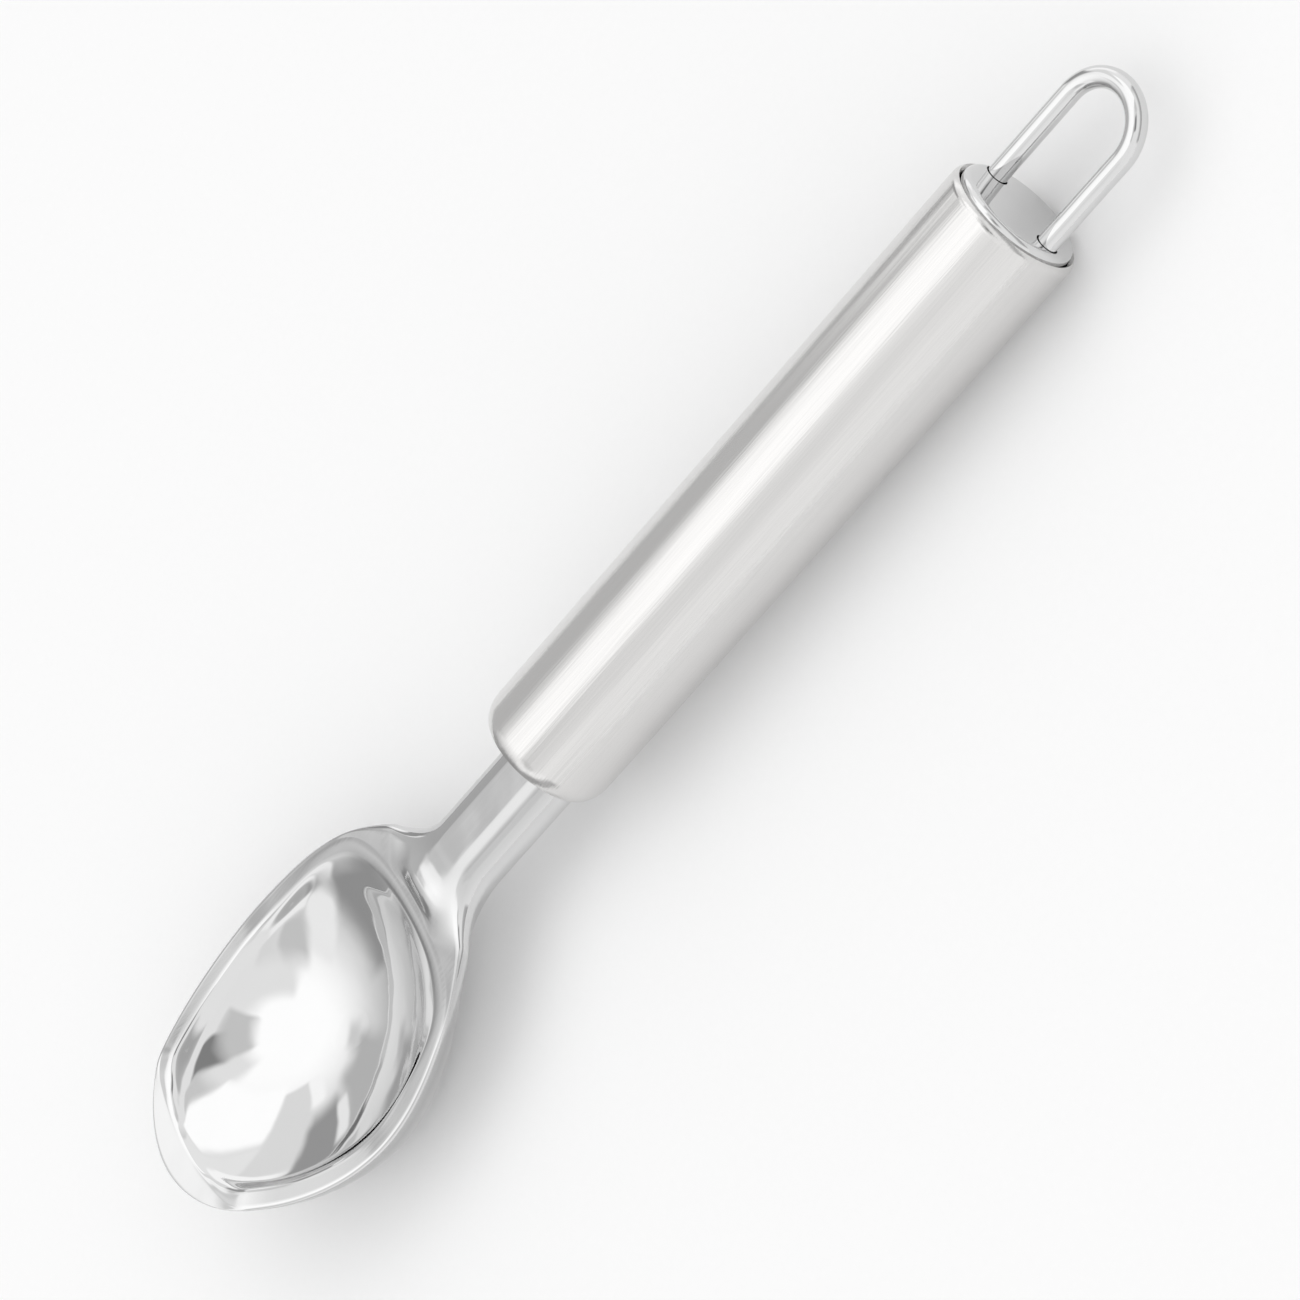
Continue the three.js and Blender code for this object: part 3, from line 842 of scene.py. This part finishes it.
# Sizes of the patterns in the finishes, in millimetres: of a patch or grain, or of a line along and across.
# Lines and fibres are drawn several times coarser than real, so that they can be seen.
HAZE_PATCH = 5.556
BUFFING_RIPPLE = 8.333
GRINDING_LINE = (16.667, 0.5556)
BRUSHED_LINE = (16.667, 0.25)
MOULD_GRAIN = 0.4
PAPER_FIBRE = 1.111

# Depths of the patterns, in millimetres
RIPPLE_DEPTH = 0.1
GRINDING_DEPTH = 0.03
BRUSHED_DEPTH = 0.05
GRAIN_DEPTH = 0.05

# Roughness of the polished pieces, how far the haze varies it, how dull the ground places are, and how far
# painted shade darkens their colour
CASTING_ROUGHNESS = 0.04
CAP_ROUGHNESS = 0.05
WIRE_ROUGHNESS = 0.06
PIN_ROUGHNESS = 0.2
HAZE_SPREAD = 0.4
GROUND_DULLER = 0.06
# Painted shade: how much of its colour a ground place keeps
PAINTED_SHADE_TONE = 0.7

# How far ground a place is where its lines start to show, and how strong they get
GRINDING_FROM = 0.5
GRINDING_STRENGTH = 0.5

# Values between which most of a soft pattern lies
PATTERN_LOW = 0.3
PATTERN_HIGH = 0.7


def srgb(code):
    """Linear colour of an sRGB hex code."""
    parts = [int(code[i : i + 2], 16) / 255 for i in (1, 3, 5)]
    return tuple(c / 12.92 if c <= 0.04045 else ((c + 0.055) / 1.055) ** 2.4 for c in parts)


def add(tree, kind, inputs=None, **settings):
    """Adds a node with its settings; an input takes a value or another node's output."""
    node = tree.nodes.new("ShaderNode" + kind)
    for key, value in settings.items():
        setattr(node, key, value)
    for key, value in (inputs or {}).items():
        if isinstance(value, bpy.types.NodeSocket):
            tree.links.new(value, node.inputs[key])
        else:
            node.inputs[key].default_value = value
    return node


def new_material(name):
    """A material with an empty node tree."""
    material = bpy.data.materials.new(name)
    material.use_nodes = True
    material.node_tree.nodes.clear()
    return material, material.node_tree


def shaded(colour, part=1.0):
    """A colour made darker or lighter, as a socket takes it."""
    return (*[c * part for c in colour], 1.0)


def per_metre(size):
    """Scale of a pattern of this size in millimetres."""
    return 1 / (size * MM)


def along_handle(tree, line):
    """Object coordinates turned along the handle and scaled to lines of this length and width."""
    coords = add(tree, "TexCoord")
    turn = tool_frame().to_3x3().normalized().inverted().to_euler()
    turned_coords = add(tree, "Mapping", {"Vector": coords.outputs["Object"], "Rotation": turn})
    length, width = (per_metre(size) for size in line)
    scale = (length, width, width)
    return add(tree, "Mapping", {"Vector": turned_coords.outputs["Vector"], "Scale": scale})


def mottled(tree, vector, scale, colour, detail, part):
    """A pattern of soft patches, and a colour that it shades."""
    patches = add(tree, "TexNoise", {"Vector": vector, "Scale": scale, "Detail": detail})
    pattern = patches.outputs["Fac"]
    tones = {"Factor": pattern, "A": shaded(colour), "B": shaded(colour, part)}
    return pattern, add(tree, "Mix", tones, data_type="RGBA").outputs["Result"]


def set_surface(tree, tone, rough, normal, metallic):
    """Puts the finish on the surface."""
    shader = add(
        tree, "BsdfPrincipled",
        {"Base Color": tone, "Metallic": metallic, "Roughness": rough, "Normal": normal},
    )
    add(tree, "OutputMaterial", {"Surface": shader.outputs["BSDF"]})


def polished_metal(name, colour, roughness, ground_and_shade=False):
    """Mirror polish: sharp reflections, a hardly seen haze and a slow ripple left by the buffing wheel.

    Where it is ground, it is duller and fine lines run along the handle; there its colour is also greyer, a
    painted shade that stands for a darker reflection.
    """
    material, tree = new_material(name)
    coords = add(tree, "TexCoord").outputs["Object"]
    haze, tone = mottled(tree, coords, per_metre(HAZE_PATCH), colour, detail=4.0, part=0.97)
    least, most = roughness * (1 - HAZE_SPREAD), roughness * (1 + HAZE_SPREAD)
    rough = add(
        tree, "MapRange",
        {
            "Value": haze, "From Min": PATTERN_LOW, "From Max": PATTERN_HIGH,
            "To Min": least, "To Max": most,
        },
    ).outputs["Result"]
    ripple = add(
        tree, "TexNoise", {"Vector": coords, "Scale": per_metre(BUFFING_RIPPLE), "Detail": 1.5}
    ).outputs["Fac"]
    normal = add(
        tree, "Bump", {"Height": ripple, "Strength": 1.0, "Distance": RIPPLE_DEPTH * MM}
    ).outputs["Normal"]
    if ground_and_shade:
        where = add(tree, "Attribute", attribute_name="ground_and_shade").outputs["Fac"]
        # Painted shade: the ground places' colour is darkened to stand for a darker reflection
        tones = {"Factor": where, "A": tone, "B": shaded(colour, PAINTED_SHADE_TONE)}
        tone = add(tree, "Mix", tones, data_type="RGBA").outputs["Result"]
        rough = add(
            tree, "Math", {0: where, 1: GROUND_DULLER, 2: rough}, operation="MULTIPLY_ADD"
        ).outputs[0]
        along = along_handle(tree, GRINDING_LINE).outputs["Vector"]
        lines = add(tree, "TexNoise", {"Vector": along, "Scale": 1.0, "Detail": 2.0})
        strength = add(
            tree, "MapRange", {"Value": where, "From Min": GRINDING_FROM, "To Max": GRINDING_STRENGTH}
        )
        normal = add(
            tree, "Bump",
            {
                "Height": lines.outputs["Fac"], "Strength": strength.outputs["Result"],
                "Distance": GRINDING_DEPTH * MM, "Normal": normal,
            },
        ).outputs["Normal"]
    set_surface(tree, tone, rough, normal, metallic=1.0)
    return material


def brushed_steel(name, colour):
    """Stainless tube brushed along its length: fine long streaks feather the edge of each reflection."""
    material, tree = new_material(name)
    along = along_handle(tree, BRUSHED_LINE).outputs["Vector"]
    streaks, tone = mottled(tree, along, 1.0, colour, detail=3.0, part=0.92)
    rough = add(
        tree, "MapRange",
        {
            "Value": streaks, "From Min": PATTERN_LOW, "From Max": PATTERN_HIGH,
            "To Min": 0.1, "To Max": 0.2,
        },
    ).outputs["Result"]
    normal = add(
        tree, "Bump", {"Height": streaks, "Strength": 0.4, "Distance": BRUSHED_DEPTH * MM}
    ).outputs["Normal"]
    set_surface(tree, tone, rough, normal, metallic=1.0)
    return material


def black_nylon(name, colour):
    """Moulded nylon: near black, with the dull fine grain of the mould."""
    material, tree = new_material(name)
    coords = add(tree, "TexCoord").outputs["Object"]
    grain, tone = mottled(tree, coords, per_metre(MOULD_GRAIN), colour, detail=2.0, part=1.5)
    rough = add(tree, "MapRange", {"Value": grain, "To Min": 0.5, "To Max": 0.75})
    normal = add(
        tree, "Bump", {"Height": grain, "Strength": 0.2, "Distance": GRAIN_DEPTH * MM}
    ).outputs["Normal"]
    set_surface(tree, tone, rough.outputs["Result"], normal, metallic=0.0)
    return material


def floor_paper(name, colour):
    """Matt white paper with a faint grain of fibres."""
    material, tree = new_material(name)
    coords = add(tree, "TexCoord").outputs["Object"]
    grain, tone = mottled(tree, coords, per_metre(PAPER_FIBRE), colour, detail=2.0, part=0.985)
    rough = add(tree, "MapRange", {"Value": grain, "To Min": 0.85, "To Max": 1.0})
    paper = add(tree, "BsdfDiffuse", {"Color": tone, "Roughness": rough.outputs["Result"]})
    add(tree, "OutputMaterial", {"Surface": paper.outputs["BSDF"]})
    return material


# Brightness of the studio at the horizon and overhead, and where overhead starts, in degrees
HORIZON = 0.52
CEILING = 1.42
CEILING_FROM = 70

# Panels of the studio round the object: azimuth and elevation in degrees, softness of the upright and of
# the level edges, brightness. Azimuth 0 is ahead of the bowl and 90 at the tool's left; those behind are
# measured from straight behind, and 90 there is at the tool's right.
PANELS = (
    # Low dark flats ahead of the bowl
    (-24, 1, -10, 24, 2, 9, 0.38),
    (-40, -22, -10, 15, 4, 6, 0.42),
    (1, 30, -10, 18, 3, 4, 0.45),
    # Bright and grey panels ahead at the left
    (3, 21, 22, 50, 2, 4, 1.16),
    (22, 57, 18, 33, 3, 3, 1.2),
    (21, 43, 35, 57, 4, 6, 0.76),
    (43, 66, 35, 58, 5, 5, 0.95),
    (56, 116, -10, 32, 4, 4, 1.07),
    # Grey flats and bright strips at the right
    (-70, -44, -10, 42, 4, 6, 0.62),
    (-110, -89, -10, 57, 2, 1.5, 0.98),
    (-125, -92, -10, 19, 4, 3, 1.3),
    (-89, -73, -10, 36, 2, 6, 0.42),
    (-90, -80, 42, 57, 2, 2, 1.3),
    (-74, -69.5, 14, 32, 1, 2, 1.12),
    (-55, -39, 41, 50, 6, 3, 0.84),
)
PANELS_BEHIND = (
    # A wide pale screen, with grey and dark flats before it
    (-150, 20, 20, 73, 8, 4, 1.06),
    (-68, -9, 64, 76, 5, 3, 0.76),
    (-42, -7, 50, 65, 4, 3.5, 0.3),
    (-8, 12, 40, 57, 4, 3, 0.8),
    # A window, and a pale wall under it
    (14, 70, 38, 61, 2.5, 2, 1.42),
    (25, 71, -10, 37, 2, 2, 1.1),
)


def studio_world(name, light):
    """A bright ceiling over plain walls, with darker and lighter panels set up round the object."""
    world = bpy.data.worlds.new(name)
    world.use_nodes = True
    tree = world.node_tree
    tree.nodes.clear()
    coords = add(tree, "TexCoord")
    split = add(tree, "SeparateXYZ", {0: coords.outputs["Generated"]})
    x, y, z = split.outputs
    height = add(tree, "Math", {0: z}, operation="ARCSINE").outputs[0]
    round_front = add(tree, "Math", {0: y, 1: x}, operation="ARCTAN2").outputs[0]
    back_x = add(tree, "Math", {0: x, 1: -1.0}, operation="MULTIPLY").outputs[0]
    back_y = add(tree, "Math", {0: y, 1: -1.0}, operation="MULTIPLY").outputs[0]
    round_back = add(tree, "Math", {0: back_y, 1: back_x}, operation="ARCTAN2").outputs[0]
    level = add(
        tree, "MapRange",
        {
            "Value": height, "From Min": 0.0, "From Max": math.radians(CEILING_FROM),
            "To Min": HORIZON, "To Max": CEILING,
        },
        interpolation_type="SMOOTHSTEP",
    ).outputs["Result"]
    for round_about, panels in ((round_back, PANELS_BEHIND), (round_front, PANELS)):
        for left, right, bottom, top, soft_side, soft_level, value in panels:
            mask = None
            for angle, edge, sense, soft in (
                (round_about, left, 1, soft_side), (round_about, right, -1, soft_side),
                (height, bottom, 1, soft_level), (height, top, -1, soft_level),
            ):
                side = add(
                    tree, "MapRange",
                    {
                        "Value": angle,
                        "From Min": math.radians(edge - sense * soft),
                        "From Max": math.radians(edge + sense * soft),
                    },
                    interpolation_type="SMOOTHSTEP",
                ).outputs["Result"]
                if mask is None:
                    mask = side
                else:
                    mask = add(tree, "Math", {0: mask, 1: side}, operation="MULTIPLY").outputs[0]
            level = add(tree, "Mix", {"Factor": mask, "A": level, "B": value}).outputs["Result"]
    level = add(tree, "Math", {0: level, 1: light}, operation="MULTIPLY").outputs[0]
    background = add(tree, "Background", {"Color": shaded(srgb("#FFFFFF")), "Strength": level})
    add(tree, "OutputWorld", {"Surface": background.outputs["Background"]})
    return world


# Floor in metres; camera with its place and its right and down directions in the tool frame
FLOOR_SIZE = 20
CAMERA_LENS = 133.86
CAMERA_SENSOR = 36.0
CAMERA_CLIP = (0.01, 20)
CAMERA_PLACE = (-315.197, 328.36, 490.449)
CAMERA_RIGHT = (-0.594223, 0.460049, -0.659738)
CAMERA_DOWN = (0.670607, 0.736258, -0.090606)


class ScoopHandleSettings(bpy.types.PropertyGroup):
    """Sizes of the handle."""

    tube_diameter: bpy.props.FloatProperty(
        name="Tube Diameter", description="Outside diameter of the handle tube", default=0.02, unit="LENGTH"
    )
    tube_length: bpy.props.FloatProperty(
        name="Tube Length", description="Length of the handle tube", default=0.1044, unit="LENGTH"
    )
    wire_diameter: bpy.props.FloatProperty(
        name="Wire Diameter", description="Diameter of the loop's wire", default=0.003, unit="LENGTH"
    )
    loop_reach: bpy.props.FloatProperty(
        name="Loop Reach", description="From the cap to the top of the loop", default=0.0228, unit="LENGTH"
    )


class ScoopHeadSettings(bpy.types.PropertyGroup):
    """Sizes of the bowl."""

    bowl_front: bpy.props.FloatProperty(
        name="Bowl Front", description="From the widest place to the tip", default=0.0331, unit="LENGTH"
    )
    bowl_rear: bpy.props.FloatProperty(
        name="Bowl Rear", description="From the widest place to the rear", default=0.0382, unit="LENGTH"
    )
    bowl_half_width: bpy.props.FloatProperty(
        name="Bowl Half Width", description="Half the bowl's width", default=0.0223, unit="LENGTH"
    )
    bowl_depth: bpy.props.FloatProperty(
        name="Bowl Depth", description="From the edge to the bottom", default=0.01368, unit="LENGTH"
    )
    bowl_wall: bpy.props.FloatProperty(
        name="Bowl Wall", description="Thickness of the casting at the bottom", default=0.0064, unit="LENGTH"
    )


class ScoopFinishSettings(bpy.types.PropertyGroup):
    """Colours of the finishes."""

    casting: bpy.props.FloatVectorProperty(
        name="Polished Casting", description="Colour of the polished head",
        subtype="COLOR", default=srgb("#DADADA")
    )
    tube: bpy.props.FloatVectorProperty(
        name="Brushed Tube", description="Colour of the brushed handle",
        subtype="COLOR", default=srgb("#DDDCDB")
    )
    polished: bpy.props.FloatVectorProperty(
        name="Polished Steel", description="Colour of the cap and the loop",
        subtype="COLOR", default=srgb("#D9D9D9")
    )
    plain: bpy.props.FloatVectorProperty(
        name="Plain Steel", description="Colour of the pin",
        subtype="COLOR", default=srgb("#C8C8C5")
    )
    nylon: bpy.props.FloatVectorProperty(
        name="Nylon", description="Colour of the moulded inserts",
        subtype="COLOR", default=srgb("#2B2B2B")
    )


class ScoopStageSettings(bpy.types.PropertyGroup):
    """Floor and light."""

    floor: bpy.props.FloatVectorProperty(
        name="Floor", description="Colour of the floor",
        subtype="COLOR", default=srgb("#F8F8F8")
    )
    light: bpy.props.FloatProperty(
        name="Light", description="Strength of the studio light", default=1.0, min=0.0
    )


class SCOOP_OT_head(bpy.types.Operator):
    """Build the cast head: bowl, rim, fishtail, neck, collar and tang"""

    bl_idname = "scoop.head"
    bl_label = "Cast Head"

    def execute(self, context):
        bowl = build_bowl()
        collar, tang = build_collar_and_tang()
        bpy.ops.object.select_all(action="DESELECT")
        for piece in (collar, tang, bowl):
            piece.select_set(True)
        context.view_layer.objects.active = bowl
        bpy.ops.object.join()
        finish = context.scene.scoop_finish
        material = polished_metal("polished_cast_alloy", finish.casting, CASTING_ROUGHNESS, ground_and_shade=True)
        finish_piece(bowl, material, "polished_casting", "scoop_head")
        return {"FINISHED"}


class SCOOP_OT_tube(bpy.types.Operator):
    """Build the brushed handle tube"""

    bl_idname = "scoop.tube"
    bl_label = "Handle Tube"

    def execute(self, context):
        inner = [*shoulder_arc(SHOULDER_RADIUS - TUBE_WALL, SHOULDER_SWEEP, 0)]
        inner += roll_arc(ROLL_RADIUS - TUBE_WALL, 0, -ROLL_SWEEP)
        outer = [*roll_arc(ROLL_RADIUS, -ROLL_SWEEP, 0)]
        outer += shoulder_arc(SHOULDER_RADIUS, 0, SHOULDER_SWEEP)
        piece = pipe("handle_tube_brushed", turned(inner + outer, TURN_STEPS))
        material = brushed_steel("brushed_stainless", context.scene.scoop_finish.tube)
        finish_piece(piece, material, "brushed_tube", "handle_tube")
        return {"FINISHED"}


class SCOOP_OT_cap(bpy.types.Operator):
    """Build the polished end cap"""

    bl_idname = "scoop.cap"
    bl_label = "End Cap"

    def execute(self, context):
        face, radius = cap_face(), cap_radius()
        inside, back = radius - CAP_WALL, face + CAP_WALL
        profile = [(face, CAP_MIDDLE)]
        profile += arc(face + CAP_EDGE, radius - CAP_EDGE, CAP_EDGE, -90, 0, ARC_STEPS)
        profile += [(face + CAP_DEPTH, radius), (face + CAP_DEPTH, inside)]
        profile += [(back + CAP_FILLET, inside), (back, inside - CAP_FILLET), (back, CAP_MIDDLE)]
        piece = solid("end_cap_polished", turned(profile, TURN_STEPS))
        cut_away(piece, [leg_drill(side) for side in (1, -1)])
        bpy.ops.object.shade_smooth_by_angle(angle=math.radians(SMOOTH_BELOW))
        finish = context.scene.scoop_finish
        material = polished_metal("polished_stainless_cap", finish.polished, CAP_ROUGHNESS)
        finish_piece(piece, material, "polished_cap", "end_cap")
        return {"FINISHED"}


class SCOOP_OT_loop(bpy.types.Operator):
    """Build the wire loop"""

    bl_idname = "scoop.loop"
    bl_label = "Hanging Loop"

    def execute(self, context):
        handle = context.scene.scoop_handle
        radius, side, face = handle.wire_diameter / MM / 2, leg_y(), cap_face()
        top = face - handle.loop_reach / MM + radius + side
        end = face + LEG_DEPTH
        leg = [(end, side, 0, 1, radius - LEG_BEVEL), (end - LEG_BEVEL, side, 0, 1, radius)]
        leg += [(face + (top - face) * i / LEG_STEPS, side, 0, 1, radius) for i in range(LEG_STEPS)]
        path = list(leg)
        for i in range(ARCH_STEPS + 1):
            s, c = math.sin(math.pi * i / ARCH_STEPS), math.cos(math.pi * i / ARCH_STEPS)
            path.append((top - side * s, side * c, -s, c, radius))
        path += [(x, -y, s, -c, r) for x, y, s, c, r in reversed(leg)]
        turns = [2 * math.pi * i / WIRE_STEPS for i in range(WIRE_STEPS)]
        rings = []
        for x, y, s, c, r in path:
            out = [(r * math.cos(t), r * math.sin(t)) for t in turns]
            rings.append([(x + s * a, y + c * a, z) for a, z in out])
        piece = solid("hanging_loop_polished", rings)
        finish = context.scene.scoop_finish
        material = polished_metal("polished_stainless_wire", finish.polished, WIRE_ROUGHNESS)
        finish_piece(piece, material, "polished_wire", "hanging_loop")
        return {"FINISHED"}


class SCOOP_OT_inside(bpy.types.Operator):
    """Finish the pieces inside the handle"""

    bl_idname = "scoop.inside"
    bl_label = "Inside Pieces"

    def execute(self, context):
        finish = context.scene.scoop_finish
        nylon = black_nylon("moulded_nylon", finish.nylon)
        steel = polished_metal("turned_steel_pin", finish.plain, PIN_ROUGHNESS)
        for name, material in (
            ("insert_upper", nylon), ("insert_lower", nylon), ("loop_plug", nylon), ("tang_pin", steel),
        ):
            mesh = frame["nodes"][name].data
            mesh.materials.clear()
            mesh.materials.append(material)
        return {"FINISHED"}


class SCOOP_OT_stage(bpy.types.Operator):
    """Set up the floor, the studio light and the camera"""

    bl_idname = "scoop.stage"
    bl_label = "Studio Stage"

    def execute(self, context):
        scene = context.scene
        stage = scene.scoop_stage
        bpy.ops.object.select_all(action="DESELECT")
        bpy.ops.mesh.primitive_plane_add(size=FLOOR_SIZE)
        floor = context.object
        floor.name = "floor"
        floor.data.materials.append(floor_paper("floor_paper", stage.floor))
        scene.world = studio_world("studio", stage.light)
        self.camera(scene)
        scene.view_settings.view_transform = "Standard"
        return {"FINISHED"}

    def camera(self, scene):
        """The photograph's viewpoint, fitted to the handle's lines in the tool frame."""
        data = bpy.data.cameras.new("camera")
        data.lens = CAMERA_LENS
        data.sensor_width = CAMERA_SENSOR
        data.clip_start, data.clip_end = CAMERA_CLIP
        camera = bpy.data.objects.new("camera", data)
        scene.collection.objects.link(camera)
        place = tool_frame()
        turn = place.to_3x3().normalized()
        right, up = turn @ Vector(CAMERA_RIGHT), turn @ -Vector(CAMERA_DOWN)
        axes = Matrix((right, up, right.cross(up))).transposed()
        camera.matrix_world = Matrix.Translation(place @ Vector(CAMERA_PLACE)) @ axes.to_4x4()
        scene.camera = camera


class SCOOP_PT_panel(bpy.types.Panel):
    """Builds the scoop step by step"""

    bl_idname = "SCOOP_PT_panel"
    bl_label = "Ice Cream Scoop"
    bl_space_type = "VIEW_3D"
    bl_region_type = "UI"
    bl_category = "Scoop"

    def draw(self, context):
        layout = self.layout
        scene = context.scene
        for group, names in (
            (scene.scoop_handle, ("tube_diameter", "tube_length", "wire_diameter", "loop_reach")),
            (scene.scoop_head, ("bowl_front", "bowl_rear", "bowl_half_width", "bowl_depth", "bowl_wall")),
            (scene.scoop_finish, ("casting", "tube", "polished", "plain", "nylon")),
            (scene.scoop_stage, ("floor", "light")),
        ):
            box = layout.box()
            for name in names:
                box.prop(group, name)
        for operator in OPERATORS:
            layout.operator(operator.bl_idname)


OPERATORS = (SCOOP_OT_head, SCOOP_OT_tube, SCOOP_OT_cap, SCOOP_OT_loop, SCOOP_OT_inside, SCOOP_OT_stage)
GROUPS = {
    "scoop_handle": ScoopHandleSettings,
    "scoop_head": ScoopHeadSettings,
    "scoop_finish": ScoopFinishSettings,
    "scoop_stage": ScoopStageSettings,
}


def register():
    """Adds the settings, the operators and the panel."""
    for name, group in GROUPS.items():
        bpy.utils.register_class(group)
        setattr(bpy.types.Scene, name, bpy.props.PointerProperty(type=group))
    for operator in OPERATORS:
        bpy.utils.register_class(operator)
    bpy.utils.register_class(SCOOP_PT_panel)


def unregister():
    """Takes them away again."""
    bpy.utils.unregister_class(SCOOP_PT_panel)
    for operator in reversed(OPERATORS):
        bpy.utils.unregister_class(operator)
    for name, group in reversed(GROUPS.items()):
        delattr(bpy.types.Scene, name)
        bpy.utils.unregister_class(group)


def main():
    """Builds every piece and the stage."""
    register()
    bpy.ops.scoop.head()
    bpy.ops.scoop.tube()
    bpy.ops.scoop.cap()
    bpy.ops.scoop.loop()
    bpy.ops.scoop.inside()
    bpy.ops.scoop.stage()


if __name__ == "__main__":
    main()
